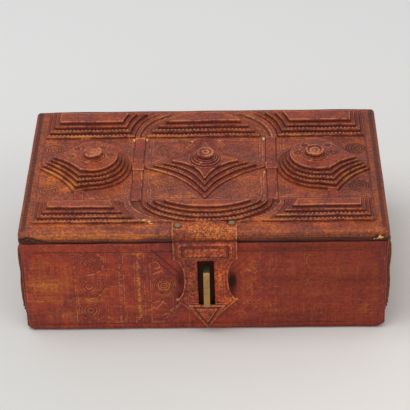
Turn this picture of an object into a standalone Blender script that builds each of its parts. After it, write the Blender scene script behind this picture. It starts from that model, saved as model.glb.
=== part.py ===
"""A tooled leather box: wooden boards in a leather cover, a hinged lid with stepped,
built-up leather relief, and a leather hasp that closes over a brass staple.

Metres, +Z up. The origin is on the ground under the middle of the case, and the hasp
is at the front, towards -Y.
"""
from math import asin, cos, pi, sin, sqrt

import bmesh
import bpy
from mathutils import Matrix, Vector

# Case
case_width = 0.2985
case_depth = 0.1890
case_height = 0.0890
case_edge_radius = 0.0035
case_rim_radius = 0.0012
board_thickness = 0.0070
joint_lip = 0.0035
cover_thickness = 0.0014
base_thickness = 0.0012
lining_thickness = 0.0008
turn_in = 0.0100

# Gaps between pieces, and how far a cutter runs past what it cuts
lay_gap = 0.0003
overrun = 0.0050

# Lid
lid_overhang = 0.0010
lid_thickness = 0.0102
lid_edge_radius = 0.0030
lid_lower_radius = 0.0015
lid_lip_thickness = 0.0012
lid_turn_in = 0.0120

# How far the relief stays inside the lid's edges. The sizes of its plan below are drawn for
# a lid of the usual size, and the whole plan is stretched to keep these margins on any other.
side_margin = 0.01125
front_margin = 0.0135

# Stepped cartouches in two rows, each row with a half oval between two corner pieces
cartouche_edge = 0.1390
cartouche_corner = 0.0015
channel = 0.0130
front_row_near = 0.0510
front_row_far = 0.0820
front_row_inset = 0.0110
front_row_height = 0.0094
front_oval_half = 0.0540
front_oval_x = 0.0030
front_hollow_x = 0.0000
back_row_near = 0.0480
back_row_far = 0.0865
back_row_inset = 0.0120
back_row_height = 0.0105
back_oval_half = 0.0490
back_oval_x = -0.0015
back_hollow_x = 0.0010
cartouche_steps = 4

# Star in the middle of the lid
star_x = 0.0008
star_half_width = 0.0508
star_half_depth = 0.0472
star_sag = 0.0070
star_top_half = 0.0280
star_top_sag = 0.0058
star_blunt = 0.0012
star_height = 0.0080
star_steps = 4
star_drum_radius = 0.0135
star_drum_height = 0.0042
star_knob_radius = 0.0075
star_knob_height = 0.0048

# Bosses at the left and right of the star
left_boss_x = -0.0955
right_boss_x = 0.0950
boss_radius = 0.0334
boss_top_radius = 0.0225
boss_point = 0.0445
boss_top_point = 0.0315
boss_shoulder = 0.0375
boss_top_shoulder = 0.0215
left_shoulder_x = 0.0125
left_top_shoulder_x = 0.0080
right_shoulder_x = 0.0160
right_top_shoulder_x = 0.0105
boss_sag = 0.0035
boss_top_sag = 0.0020
boss_height = 0.0135
boss_steps = 5
boss_drum_radius = 0.0105
boss_drum_height = 0.0024
boss_knob_radius = 0.0072
boss_knob_height = 0.0034
left_point_y = 0.0000
right_point_y = -0.0045
left_button_shift = (0.0003, -0.0010)
right_button_shift = (-0.0022, -0.0026)

# Flat straps on the lid
strap_width = 0.0085
strap_thickness = 0.0010
left_strap_x = -0.0561
right_strap_x = 0.0568
strap_end_gap = 0.0006
bridge_depth = 0.0100
bridge_length = 0.0092
bridge_thickness = 0.0009

# Stepped panels on the two ends of the case
end_panel_margin = 0.0090
end_panel_corner = 0.0060
end_panel_inset = 0.0046
end_panel_height = 0.0033
end_panel_steps = 3

# Leather hinge at the back
hinge_width = 0.2700
hinge_leather = 0.0014
hinge_leaf_drop = 0.0240
hinge_side_margin = 0.0008

# Hasp. Each drop is measured down from the fold.
hasp_x = 0.0008
hasp_width = 0.0520
leaf_thickness = 0.0022
leaf_reach = 0.0126
fold_gap = 0.0006
fold_rise = 0.0041
flap_stand_off = 0.0015
flap_thickness = 0.0035
flap_drop = 0.0884
flap_lean = 0.0014
waist_half = 0.0176
waist_top_drop = 0.0189
waist_drop = 0.0374
ear_half = 0.0258
ear_drop = 0.0589
flap_slope_sag = 0.0022
slot_width = 0.0136
slot_top_drop = 0.0199
slot_bottom_drop = 0.0644
frame_thickness = 0.0009
frame_side_margin = 0.0050
frame_top_gap = 0.0024
frame_slot_gap = 0.0012
frame_band = 0.0036
panel_gap = 0.0012
tip_frame_half = 0.0136
tip_frame_drop = 0.0012
tip_frame_rise = 0.0050
tip_frame_band = 0.0042
tip_panel_gap = 0.0007
nail_head_radius = 0.0022
nail_head_height = 0.0011
nail_shank_radius = 0.0008
nail_length = 0.0075
left_nail_inset = 0.0045
right_nail_inset = 0.0042
left_nail_back = 0.0062
right_nail_back = 0.0094

# Staple, its drops measured down from the fold too
staple_x = 0.0018
staple_width = 0.0050
staple_thickness = 0.0014
staple_top_drop = 0.0279
staple_bottom_drop = 0.0636
staple_reach = 0.0112
staple_bend = 0.0020
staple_tail = 0.0090

arc_points = 17
bow_points = 6
turned_segments = 28
bend_points = 4

# Places worked out from the sizes above
half_case_x = case_width / 2
half_case_y = case_depth / 2
board_x = half_case_x - cover_thickness - lay_gap
board_y = half_case_y - cover_thickness - lay_gap
inner_x = board_x - board_thickness
inner_y = board_y - board_thickness
bottom_board_low = base_thickness + lay_gap
bottom_board_high = bottom_board_low + board_thickness
wall_low = bottom_board_high + lay_gap
wall_high = case_height - cover_thickness - lay_gap
cover_edge_inside = case_edge_radius - cover_thickness

lid_low = case_height + lay_gap
lid_high = lid_low + lid_thickness
half_lid_x = half_case_x + lid_overhang
half_lid_y = half_case_y + lid_overhang
lid_board_x = half_lid_x - cover_thickness - lay_gap
lid_board_y = half_lid_y - cover_thickness - lay_gap
lid_board_low = lid_low + lid_lip_thickness + lay_gap
lid_board_high = lid_high - cover_thickness - lay_gap
lid_edge_inside = lid_edge_radius - cover_thickness
relief_low = lid_high + lay_gap
stretch_x = (half_lid_x - side_margin) / cartouche_edge
stretch_y = (half_lid_y - front_margin) / front_row_far

hinge_face = half_lid_y + lay_gap
hinge_outer = hinge_face + hinge_leather
lid_axis = Vector((0, hinge_outer + lay_gap, lid_low - lay_gap / 2))

fold_height = lid_low + fold_rise
flap_inner = -(half_case_y + flap_stand_off)
flap_outer = flap_inner - flap_thickness
hasp_axis = Vector((hasp_x, flap_outer - lay_gap, fold_height))
flap_top = fold_height - fold_gap / 2
flap_tip_height = fold_height - flap_drop
waist_top_height = fold_height - waist_top_drop
waist_height = fold_height - waist_drop
ear_height = fold_height - ear_drop
slot_top = fold_height - slot_top_drop
slot_bottom = fold_height - slot_bottom_drop
staple_top = fold_height - staple_top_drop
staple_bottom = fold_height - staple_bottom_drop


def clear_scene():
    for thing in list(bpy.data.objects):
        bpy.data.objects.remove(thing, do_unlink=True)


def make_collection(name):
    collection = bpy.data.collections.new(name)
    bpy.context.scene.collection.children.link(collection)
    return collection


def make_material(name, colour, roughness, metallic=0):
    material = bpy.data.materials.new(name)
    material.use_nodes = True
    shader = material.node_tree.nodes["Principled BSDF"]
    shader.inputs["Base Color"].default_value = (*colour, 1)
    shader.inputs["Roughness"].default_value = roughness
    shader.inputs["Metallic"].default_value = metallic
    return material


clear_scene()
parts = make_collection("leather_box")
cutters = make_collection("cutters")

colours = {
    "leather": ((0.24, 0.075, 0.045), 0.55, 0),
    "relief": ((0.27, 0.085, 0.055), 0.50, 0),
    "worn": ((0.36, 0.15, 0.06), 0.60, 0),
    "lining": ((0.20, 0.09, 0.05), 0.80, 0),
    "wood": ((0.42, 0.27, 0.14), 0.75, 0),
    "brass": ((0.45, 0.33, 0.14), 0.40, 1),
}


def place(thing, name, collection):
    """Name an object and its mesh and keep it in one collection."""
    thing.name = name
    thing.data.name = name
    for old in list(thing.users_collection):
        old.objects.unlink(thing)
    collection.objects.link(thing)
    return thing


def finish(thing, name, look, parent=None):
    """Make an object a sub-part: its name, its own material and what carries it."""
    place(thing, name, parts)
    thing.data.materials.clear()
    thing.data.materials.append(make_material(name, *colours[look]))
    if parent:
        thing.parent = parent
        thing.matrix_parent_inverse = parent.matrix_world.inverted()
    return thing


def new_object(name, mesh_builder):
    """An object whose mesh is what the builder function makes in a bmesh."""
    mesh = bpy.data.meshes.new(name)
    shape = bmesh.new()
    mesh_builder(shape)
    bmesh.ops.recalc_face_normals(shape, faces=shape.faces)
    shape.to_mesh(mesh)
    shape.free()
    thing = bpy.data.objects.new(name, mesh)
    cutters.objects.link(thing)
    return thing


def box(name, low, high):
    """A box between two corners, with its scale applied."""
    low, high = Vector(low), Vector(high)
    bpy.ops.mesh.primitive_cube_add(size=1, location=(low + high) / 2)
    thing = bpy.context.object
    thing.scale = high - low
    bpy.ops.object.transform_apply(location=False, rotation=False, scale=True)
    return place(thing, name, cutters)


def bevel_edges(thing, radius, segments, wanted):
    """Round the edges for which wanted(one end, other end) is true."""
    shape = bmesh.new()
    shape.from_mesh(thing.data)
    edges = [edge for edge in shape.edges if wanted(edge.verts[0].co, edge.verts[1].co)]
    bmesh.ops.bevel(shape, geom=edges, offset=radius, segments=segments, profile=0.5,
                    affect="EDGES", clamp_overlap=True)
    shape.to_mesh(thing.data)
    shape.free()


def rounded_box(name, low, high, radius, end, segments=4):
    """A box whose upright edges and the edges of one end (+1 top, -1 bottom) are round."""
    thing = box(name, low, high)
    half = (high[2] - low[2]) / 2
    level = half * end

    def wanted(a, b):
        upright = abs(a.z - b.z) > half
        return upright or (abs(a.z - level) < lay_gap and abs(b.z - level) < lay_gap)

    bevel_edges(thing, radius, segments, wanted)
    return thing


def round_rim(thing, height, end, radius):
    """Round the edges that lie in a box's flat top (+1) or bottom (-1)."""
    level = height / 2 * end
    bevel_edges(thing, radius, 2,
                lambda a, b: abs(a.z - level) < lay_gap and abs(b.z - level) < lay_gap)


def cut(thing, *tools):
    """Subtract each tool, which stays as a hidden wire cutter."""
    for tool in tools:
        place(tool, tool.name, cutters)
        tool.hide_render = True
        tool.display_type = "WIRE"
        modifier = thing.modifiers.new(tool.name, "BOOLEAN")
        modifier.operation = "DIFFERENCE"
        modifier.solver = "EXACT"
        modifier.object = tool


def blend(start, end, share):
    return start + (end - start) * share


def fitted(plan):
    """The (x, y) points of a plan stretched to fit this lid."""
    return [(x * stretch_x, y * stretch_y) for x, y in plan]


def bow(start, end, sag, count):
    """Points from start up to but not at end, on an arc that sags to the left of the line."""
    start, end = Vector(start), Vector(end)
    chord = end - start
    side = Vector((-chord.y, chord.x)).normalized()
    points = []
    for index in range(count):
        share = index / count
        points.append(start + chord * share + side * sag * 4 * share * (1 - share))
    return points


def stepped_block(name, outline, steps, height):
    """A block that rises in equal steps: outline(share) is its plan, 0 at foot, 1 at top.

    The plan's face is extruded up for a riser, then extruded in place and drawn in to the
    next plan for a tread, until the last riser reaches the flat top.
    """
    rise = height / steps

    def build(shape):
        order = shape.verts.layers.int.new("order")
        foot = []
        for index, (x, y) in enumerate(outline(0)):
            corner = shape.verts.new((x, y, 0))
            corner[order] = index
            foot.append(corner)
        face = shape.faces.new(foot)
        for step in range(steps):
            face = extrude_face(shape, face, keep_old=step == 0)
            for corner in face.verts:
                corner.co.z += rise
            if step < steps - 1:
                face = extrude_face(shape, face)
                plan = outline((step + 1) / (steps - 1))
                for corner in face.verts:
                    corner.co.x, corner.co.y = plan[corner[order]]

    return new_object(name, build)


def extrude_face(shape, face, keep_old=False):
    """Extrude a face in place and return the new one, keeping the old one only as a foot."""
    made = bmesh.ops.extrude_face_region(shape, geom=[face])["geom"]
    if not keep_old:
        bmesh.ops.delete(shape, geom=[face], context="FACES_ONLY")
    return next(item for item in made if isinstance(item, bmesh.types.BMFace))


def move_mesh(thing, matrix):
    thing.data.transform(matrix)
    thing.data.update()


def flat_piece(name, loops, back, thickness):
    """A flat upright piece: loops of (x, z), the first its outline and the rest its holes."""
    curve = bpy.data.curves.new(name, "CURVE")
    curve.dimensions = "2D"
    curve.fill_mode = "BOTH"
    curve.extrude = thickness / 2
    for loop in loops:
        spline = curve.splines.new("POLY")
        spline.points.add(len(loop) - 1)
        spline.use_cyclic_u = True
        for point, (x, z) in zip(spline.points, loop):
            point.co = (x, z, 0, 1)
    thing = bpy.data.objects.new(name, curve)
    cutters.objects.link(thing)
    thing.matrix_world = (Matrix.Translation((0, back - thickness / 2, 0))
                          @ Matrix.Rotation(pi / 2, 4, "X"))
    bpy.context.view_layer.update()
    mesh = bpy.data.meshes.new_from_object(thing.evaluated_get(bpy.context.evaluated_depsgraph_get()))
    shape = bmesh.new()
    shape.from_mesh(mesh)
    bmesh.ops.remove_doubles(shape, verts=shape.verts, dist=lay_gap / 10)
    bmesh.ops.recalc_face_normals(shape, faces=shape.faces)
    shape.to_mesh(mesh)
    shape.free()
    solid = bpy.data.objects.new(name, mesh)
    solid.matrix_world = thing.matrix_world
    cutters.objects.link(solid)
    bpy.data.objects.remove(thing, do_unlink=True)
    return solid


def filleted(corners, radius):
    """The (y, z) corners of a path with each inner corner turned into an arc."""
    points = [Vector(corners[0])]
    for before, corner, after in zip(corners, corners[1:], corners[2:]):
        corner = Vector(corner)
        arrive = (corner - Vector(before)).normalized()
        leave = (Vector(after) - corner).normalized()
        centre = corner - arrive * radius + leave * radius
        for index in range(bend_points + 1):
            angle = pi / 2 * index / bend_points
            points.append(centre - leave * radius * cos(angle) + arrive * radius * sin(angle))
    points.append(Vector(corners[-1]))
    return points


def bent_strip(name, path, middle_x, width, thickness):
    """A strip as wide as width in X along a (y, z) path, thickened to the path's left."""

    def build(shape):
        line = [shape.verts.new((middle_x - width / 2, y, z)) for y, z in path]
        edges = [shape.edges.new(pair) for pair in zip(line, line[1:])]
        made = bmesh.ops.extrude_edge_only(shape, edges=edges)["geom"]
        moved = [item for item in made if isinstance(item, bmesh.types.BMVert)]
        bmesh.ops.translate(shape, verts=moved, vec=(width, 0, 0))

    thing = new_object(name, build)
    along = Vector(path[1]) - Vector(path[0])
    left = Vector((0, -along.y, along.x))
    first = next(face for face in thing.data.polygons if 0 in face.vertices)
    skin = thing.modifiers.new("thickness", "SOLIDIFY")
    skin.thickness = thickness
    skin.offset = 1 if first.normal.dot(left) > 0 else -1
    skin.use_even_offset = True
    return thing


def turned(name, profile, location, segments=turned_segments):
    """A turned piece: a profile of (radius, height) from the top of its axis to the bottom."""

    def build(shape):
        line = [shape.verts.new((radius, 0, height)) for radius, height in profile]
        for pair in zip(line, line[1:]):
            shape.edges.new(pair)

    thing = new_object(name, build)
    thing.location = location
    screw = thing.modifiers.new("turn", "SCREW")
    screw.axis = "Z"
    screw.steps = segments
    screw.render_steps = segments
    screw.use_merge_vertices = True
    screw.merge_threshold = lay_gap / 10
    thing.data.shade_smooth()
    return thing


def add_pivot(name, location):
    pivot = bpy.data.objects.new(name, None)
    pivot.location = location
    parts.objects.link(pivot)
    bpy.context.view_layer.update()
    return pivot


lid = add_pivot("lid_pivot", lid_axis)
hasp = add_pivot("hasp_pivot", hasp_axis)
hasp.parent = lid
hasp.matrix_parent_inverse = lid.matrix_world.inverted()


# Boards of the case: four walls on a bottom board, lapped at the corners

def staple_path(inside):
    """The staple's inner line in (y, z), from the lower clinched tail to the upper one."""
    bar = -(half_case_y + staple_reach) + staple_thickness
    top = staple_top - staple_thickness
    bottom = staple_bottom + staple_thickness
    return [(inside, bottom - staple_tail), (inside, bottom), (bar, bottom), (bar, top),
            (inside, top), (inside, top + staple_tail)]


def leg_hole(name, height, depth_from, depth_to):
    low_x = staple_x - staple_width / 2 - lay_gap
    high_x = staple_x + staple_width / 2 + lay_gap
    return box(name, (low_x, depth_from, height - lay_gap),
               (high_x, depth_to, height + staple_thickness + lay_gap))


def leg_holes(piece, depth_from, depth_to):
    return (leg_hole(piece + "_upper_leg_hole", staple_top - staple_thickness, depth_from, depth_to),
            leg_hole(piece + "_lower_leg_hole", staple_bottom, depth_from, depth_to))


def tail_recesses():
    """Hollows in the board's inner face for the staple's tails and for its inner bends."""
    low_x = staple_x - staple_width / 2 - lay_gap
    high_x = staple_x + staple_width / 2 + lay_gap
    tail_face = -inner_y - staple_thickness - 2 * lay_gap
    reach = staple_tail + staple_bend

    def recess(name, face, low, high):
        return box(name, (low_x, face, low), (high_x, -inner_y + overrun, high))

    return (recess("tail_recess", tail_face, staple_bottom - reach, staple_top + reach),
            recess("bend_recess", tail_face - staple_bend,
                   staple_bottom - staple_bend, staple_top + staple_bend))


def make_boards():
    bottom = rounded_box("bottom_board", (-board_x, -board_y, bottom_board_low),
                         (board_x, board_y, bottom_board_high), cover_edge_inside, -1)
    finish(bottom, "bottom_board", "wood")

    for side, name in ((-1, "front_board"), (1, "back_board")):
        faces = sorted((side * board_y, side * inner_y))
        board = box(name, (-board_x, faces[0], wall_low), (board_x, faces[1], wall_high))
        bevel_edges(board, cover_edge_inside, 4,
                    lambda a, b: abs(a.z - b.z) > board_thickness and a.y * side > 0)
        for end, word in ((-1, "left"), (1, "right")):
            ends = sorted((end * (board_x + overrun), end * (inner_x - lay_gap)))
            lap = sorted((side * (board_y - joint_lip), side * (inner_y - overrun)))
            cut(board, box(f"{name}_{word}_lap", (ends[0], lap[0], wall_low - overrun),
                           (ends[1], lap[1], wall_high + overrun)))
        finish(board, name, "wood")
        if side < 0:
            cut(board, *leg_holes(name, -board_y - overrun, -inner_y + overrun))
            cut(board, *tail_recesses())

    reach = board_y - joint_lip - lay_gap
    for side, name in ((-1, "left_board"), (1, "right_board")):
        faces = sorted((side * board_x, side * inner_x))
        finish(box(name, (faces[0], -reach, wall_low), (faces[1], reach, wall_high)), name, "wood")


# Leather over the case, and the thin leather inside it

def make_case_leather():
    cover = rounded_box("case_cover", (-half_case_x, -half_case_y, 0),
                        (half_case_x, half_case_y, case_height), case_edge_radius, -1)
    round_rim(cover, case_height, 1, case_rim_radius)
    cavity = rounded_box("board_space",
                         (-board_x - lay_gap, -board_y - lay_gap, base_thickness),
                         (board_x + lay_gap, board_y + lay_gap, case_height - cover_thickness),
                         cover_edge_inside, -1)
    mouth = box("case_mouth", (-inner_x, -inner_y, case_height / 2),
                (inner_x, inner_y, case_height + overrun))
    lip_x = half_case_x - cover_thickness - turn_in
    lip_y = half_case_y - cover_thickness - turn_in
    underside = box("underside", (-lip_x, -lip_y, -overrun), (lip_x, lip_y, case_height / 2))
    cut(cover, cavity, mouth, underside)
    cut(cover, *leg_holes("case_cover", -half_case_y - overrun, -board_y))
    finish(cover, "case_cover", "leather")

    base = box("base_cover", (-lip_x + lay_gap, -lip_y + lay_gap, 0),
               (lip_x - lay_gap, lip_y - lay_gap, base_thickness))
    finish(base, "base_cover", "leather")

    lining_x = inner_x - lay_gap
    lining_y = inner_y - lay_gap
    lining_low = bottom_board_high + lay_gap
    lining = box("case_lining", (-lining_x, -lining_y, lining_low), (lining_x, lining_y, case_height))
    hollow = box("case_hollow",
                 (-lining_x + lining_thickness, -lining_y + lining_thickness,
                  lining_low + lining_thickness),
                 (lining_x - lining_thickness, lining_y - lining_thickness,
                  case_height + overrun))
    cut(lining, hollow)
    finish(lining, "case_lining", "lining")


# Stepped panels on the ends of the case

def rounded_rectangle(half_x, half_y, radius, count=4):
    points = []
    for corner, (sign_x, sign_y) in enumerate(((1, 1), (-1, 1), (-1, -1), (1, -1))):
        for index in range(count + 1):
            angle = pi / 2 * (corner + index / count)
            points.append((sign_x * (half_x - radius) + radius * cos(angle),
                           sign_y * (half_y - radius) + radius * sin(angle)))
    return points


def make_end_panels():
    half_y = half_case_y - end_panel_margin
    half_z = case_height / 2 - end_panel_margin

    def outline(share):
        inset = end_panel_inset * share
        return rounded_rectangle(half_z - inset, half_y - inset, end_panel_corner - inset / 2)

    for side, name in ((-1, "left_end_panel"), (1, "right_end_panel")):
        panel = stepped_block(name, outline, end_panel_steps, end_panel_height)
        turn = Matrix.Rotation(side * pi / 2, 4, "Y")
        middle = Vector((side * (half_case_x + lay_gap), 0, case_height / 2))
        move_mesh(panel, Matrix.Translation(middle) @ turn)
        finish(panel, name, "relief")


# Staple: one brass strip through the front wall, its tails clinched behind the board

def make_staple():
    inside = -inner_y - lay_gap
    path = filleted(staple_path(inside), staple_bend)
    staple = bent_strip("staple", path, staple_x, staple_width, staple_thickness)
    finish(staple, "staple", "brass")


# Lid: board, cover and lining

def make_lid():
    board = rounded_box("lid_board", (-lid_board_x, -lid_board_y, lid_board_low),
                        (lid_board_x, lid_board_y, lid_board_high), lid_edge_inside, 1)
    finish(board, "lid_board", "wood", lid)

    cover = rounded_box("lid_cover", (-half_lid_x, -half_lid_y, lid_low),
                        (half_lid_x, half_lid_y, lid_high), lid_edge_radius, 1)
    round_rim(cover, lid_thickness, -1, lid_lower_radius)
    space = rounded_box("lid_board_space",
                        (-lid_board_x - lay_gap, -lid_board_y - lay_gap, lid_low + lid_lip_thickness),
                        (lid_board_x + lay_gap, lid_board_y + lay_gap, lid_high - cover_thickness),
                        lid_edge_inside, 1)
    lip_x = half_lid_x - lid_turn_in
    lip_y = half_lid_y - lid_turn_in
    opening = box("lid_underside", (-lip_x, -lip_y, lid_low - overrun),
                  (lip_x, lip_y, (lid_low + lid_high) / 2))
    cut(cover, space, opening)
    finish(cover, "lid_cover", "leather", lid)

    lining = box("lid_lining", (-lip_x + lay_gap, -lip_y + lay_gap, lid_low),
                 (lip_x - lay_gap, lip_y - lay_gap, lid_low + lid_lip_thickness))
    finish(lining, "lid_lining", "lining", lid)
    return board, cover


# Cartouches: stepped blocks in a front and a back row

def corner_outline(side, row, near, far, inset_all, hollow_x, oval_half):
    """Plan of a corner cartouche: square outside, hollowed along the oval next to it."""

    def outline(share):
        inset = inset_all * share
        low = near + inset
        high = far - inset
        edge = cartouche_edge - inset
        wide = oval_half + channel + inset
        deep = far - near + channel + inset
        points = []
        for index in range(bow_points + 1):
            level = blend(low, high, index / bow_points)
            reach = wide * sqrt(1 - ((level - near) / deep) ** 2)
            points.append((hollow_x + side * reach, row * level))
        points.append((side * (edge - cartouche_corner), row * high))
        points.append((side * edge, row * (high - cartouche_corner)))
        points.append((side * edge, row * (low + cartouche_corner)))
        points.append((side * (edge - cartouche_corner), row * low))
        return points

    return outline


def oval_outline(row, near, far, inset_all, oval_x, oval_half):
    """Plan of a half oval: straight towards the middle of the lid, round towards its edge."""

    def outline(share):
        inset = inset_all * share
        wide = oval_half - inset
        deep = far - near - inset
        first = asin(inset / deep)
        points = []
        for index in range(arc_points + 1):
            angle = blend(first, pi - first, index / arc_points)
            points.append((oval_x + wide * cos(angle), row * (near + deep * sin(angle))))
        return points

    return outline


def make_cartouches():
    rows = (
        ("front", -1, front_row_near, front_row_far, front_row_inset, front_row_height,
         front_oval_x, front_hollow_x, front_oval_half),
        ("back", 1, back_row_near, back_row_far, back_row_inset, back_row_height,
         back_oval_x, back_hollow_x, back_oval_half),
    )
    for word, row, near, far, inset, height, oval_x, hollow_x, half in rows:
        shapes = (
            (f"{word}_left_cartouche", corner_outline(-1, row, near, far, inset, hollow_x, half)),
            (f"{word}_centre_cartouche", oval_outline(row, near, far, inset, oval_x, half)),
            (f"{word}_right_cartouche", corner_outline(1, row, near, far, inset, hollow_x, half)),
        )
        for name, outline in shapes:
            block = stepped_block(name, lambda share: fitted(outline(share)), cartouche_steps, height)
            move_mesh(block, Matrix.Translation((0, 0, relief_low)))
            finish(block, name, "relief", lid)


# Star and bosses, each with a drum and a knob

def star_outline(share):
    half_x = blend(star_half_width, star_top_half, share)
    half_y = blend(star_half_depth, star_top_half, share)
    sag = blend(star_sag, star_top_sag, share)
    points = []
    for sign_x, sign_y in ((1, 1), (-1, 1), (-1, -1), (1, -1)):
        side_tip = Vector((sign_x * half_x, sign_y * star_blunt))
        end_tip = Vector((sign_x * star_blunt, sign_y * half_y))
        start, end = (side_tip, end_tip) if sign_x == sign_y else (end_tip, side_tip)
        points += bow(start, end, sag, bow_points) + [end]
    return points


def boss_outline(side, shoulder_x, top_shoulder_x, point_y):
    """Plan of a boss: round towards the star, with hollow sides to a point outwards."""

    def outline(share):
        radius = blend(boss_radius, boss_top_radius, share)
        point = blend(boss_point, boss_top_point, share)
        shoulder = blend(boss_shoulder, boss_top_shoulder, share)
        along = blend(shoulder_x, top_shoulder_x, share)
        sag = blend(boss_sag, boss_top_sag, share)
        points = []
        for index in range(arc_points + 1):
            angle = blend(pi / 2, 3 * pi / 2, index / arc_points)
            points.append(Vector((radius * cos(angle), radius * sin(angle))))
        points += bow((along, -shoulder), (point, point_y - star_blunt), sag, bow_points)
        points.append(Vector((point, point_y - star_blunt)))
        points += bow((point, point_y + star_blunt), (along, shoulder), sag, bow_points)
        points.append(Vector((along, shoulder)))
        return [(side * x, y) for x, y in points]

    return outline


def drum_profile(radius, height):
    """A low disc with a stepped upper edge."""
    step = height / 3
    return [(0, height), (radius - step, height), (radius - step, height - step),
            (radius, height - step), (radius, 0), (0, 0)]


def knob_profile(radius, height):
    """A button with a sunk ring round its raised middle and a rounded edge."""
    ring = radius / 3
    dip = height / 8
    profile = [(0, height), (ring, height), (ring + dip, height - dip),
               (2 * ring - dip, height - dip), (2 * ring, height)]
    for index in range(bend_points):
        angle = pi / 2 * index / (bend_points - 1)
        profile.append((radius - ring / 2 + ring / 2 * sin(angle),
                        height - ring / 2 + ring / 2 * cos(angle)))
    profile += [(radius, 0), (0, 0)]
    return profile


def add_button(word, x, y, low, drum_radius, drum_height, knob_radius, knob_height):
    drum = turned(f"{word}_drum", drum_profile(drum_radius, drum_height), (x, y, low + lay_gap))
    finish(drum, f"{word}_drum", "relief", lid)
    knob_low = low + drum_height + 2 * lay_gap
    knob = turned(f"{word}_knob", knob_profile(knob_radius, knob_height), (x, y, knob_low))
    finish(knob, f"{word}_knob", "relief", lid)


def make_star_and_bosses():
    star = stepped_block("centre_star", lambda share: fitted(star_outline(share)), star_steps, star_height)
    middle = star_x * stretch_x
    move_mesh(star, Matrix.Translation((middle, 0, relief_low)))
    finish(star, "centre_star", "relief", lid)
    add_button("star", middle, 0, relief_low + star_height, star_drum_radius, star_drum_height,
               star_knob_radius, star_knob_height)

    bosses = (("left_boss", -1, left_boss_x, left_shoulder_x, left_top_shoulder_x,
               left_point_y, left_button_shift),
              ("right_boss", 1, right_boss_x, right_shoulder_x, right_top_shoulder_x,
               right_point_y, right_button_shift))
    for name, side, drawn_x, shoulder_x, top_shoulder_x, point_y, shift in bosses:
        outline = boss_outline(side, shoulder_x, top_shoulder_x, point_y)
        boss = stepped_block(name, lambda share: fitted(outline(share)), boss_steps, boss_height)
        x = drawn_x * stretch_x
        move_mesh(boss, Matrix.Translation((x, 0, relief_low)))
        finish(boss, name, "relief", lid)
        add_button(name, x + shift[0], shift[1], relief_low + boss_height, boss_drum_radius,
                   boss_drum_height, boss_knob_radius, boss_knob_height)


# Flat straps between the blocks

def strap_outline(points, name, low, thickness):
    """A thin flat piece on the lid with the given plan, stretched like the blocks."""

    def build(shape):
        face = shape.faces.new([shape.verts.new((x, y, low)) for x, y in fitted(points)])
        face = extrude_face(shape, face, keep_old=True)
        bmesh.ops.translate(shape, verts=face.verts, vec=(0, 0, thickness))

    finish(new_object(name, build), name, "relief", lid)


def make_straps():
    half = strap_width / 2
    front = -front_row_near + strap_end_gap
    back = back_row_near - strap_end_gap
    bridge_low = relief_low + strap_thickness + lay_gap
    for word, x in (("left", left_strap_x), ("right", right_strap_x)):
        strap_outline([(x - half, front), (x + half, front), (x + half, back), (x - half, back)],
                      f"{word}_strap", relief_low, strap_thickness)
        long = bridge_length / 2
        deep = bridge_depth / 2
        strap_outline([(x - long, -deep), (x + long, -deep), (x + long, deep), (x - long, deep)],
                      f"{word}_bridge", bridge_low, bridge_thickness)

    shoulders = (("left", -1, left_boss_x, left_shoulder_x),
                 ("right", 1, right_boss_x, right_shoulder_x))
    for word, side, middle, shoulder_x in shoulders:
        slope = (boss_shoulder - boss_radius) / shoulder_x
        for end, row, edge in (("front", -1, -front), ("back", 1, back)):
            inner_u = shoulder_x - strap_width
            outer_u = shoulder_x
            plan = []
            for u in (inner_u, outer_u):
                plan.append((middle + side * u, row * (boss_radius + slope * u + strap_end_gap)))
            for u in (outer_u, inner_u):
                plan.append((middle + side * u, row * edge))
            strap_outline(plan, f"{word}_boss_{end}_strap", relief_low, strap_thickness)


# Leather hinge: one leaf on the back of the case, one on the lid's back edge

def make_hinge():
    half = hinge_width / 2
    lower_face = half_case_y + lay_gap
    lower = box("hinge_lower_leaf", (-half, lower_face, case_height - hinge_leaf_drop),
                (half, hinge_outer, case_height - hinge_side_margin))
    finish(lower, "hinge_lower_leaf", "leather")
    upper = box("hinge_upper_leaf", (-half, hinge_face, lid_low + lid_lower_radius),
                (half, hinge_outer, lid_high - lid_edge_radius / 2))
    finish(upper, "hinge_upper_leaf", "leather", lid)


# Hasp: a leaf nailed to the lid, and a thick flap that folds at the seam

def lean(height):
    """How far the hasp's middle line has moved sideways at a height."""
    share = (flap_top - height) / (flap_top - flap_tip_height)
    return hasp_x + flap_lean * share


def mirrored(half_profile):
    """A closed outline from (half width, height) pairs running down one side."""
    right = [(lean(z) + half, z) for half, z in half_profile]
    left = [(lean(z) - half, z) for half, z in reversed(half_profile) if half > 0]
    return right + left


def waist_profile():
    """Half widths down the flap: straight shoulders, hollow waist, ears and a point."""
    half = hasp_width / 2
    points = [(half, flap_top), (half, waist_top_height)]
    for index in range(1, bow_points + 1):
        angle = pi / 2 * index / bow_points
        points.append((waist_half + (half - waist_half) * (1 - sin(angle)),
                       blend(waist_top_height, waist_height, 1 - cos(angle))))
    for index in range(1, bow_points + 1):
        angle = pi / 2 * index / bow_points
        points.append((waist_half + (ear_half - waist_half) * (1 - cos(angle)),
                       blend(waist_height, ear_height, sin(angle))))
    side = bow((ear_half, ear_height), (0, flap_tip_height), -flap_slope_sag, bow_points)
    points += [(x, z) for x, z in side[1:]]
    points.append((0, flap_tip_height))
    return points


def make_flap():
    slot_half = slot_width / 2
    slot = [(lean(slot_top) + slot_half, slot_top), (lean(slot_bottom) + slot_half, slot_bottom),
            (lean(slot_bottom) - slot_half, slot_bottom), (lean(slot_top) - slot_half, slot_top)]
    flap = flat_piece("hasp_flap", [mirrored(waist_profile()), slot], flap_inner, flap_thickness)
    finish(flap, "hasp_flap", "leather", hasp)


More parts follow.
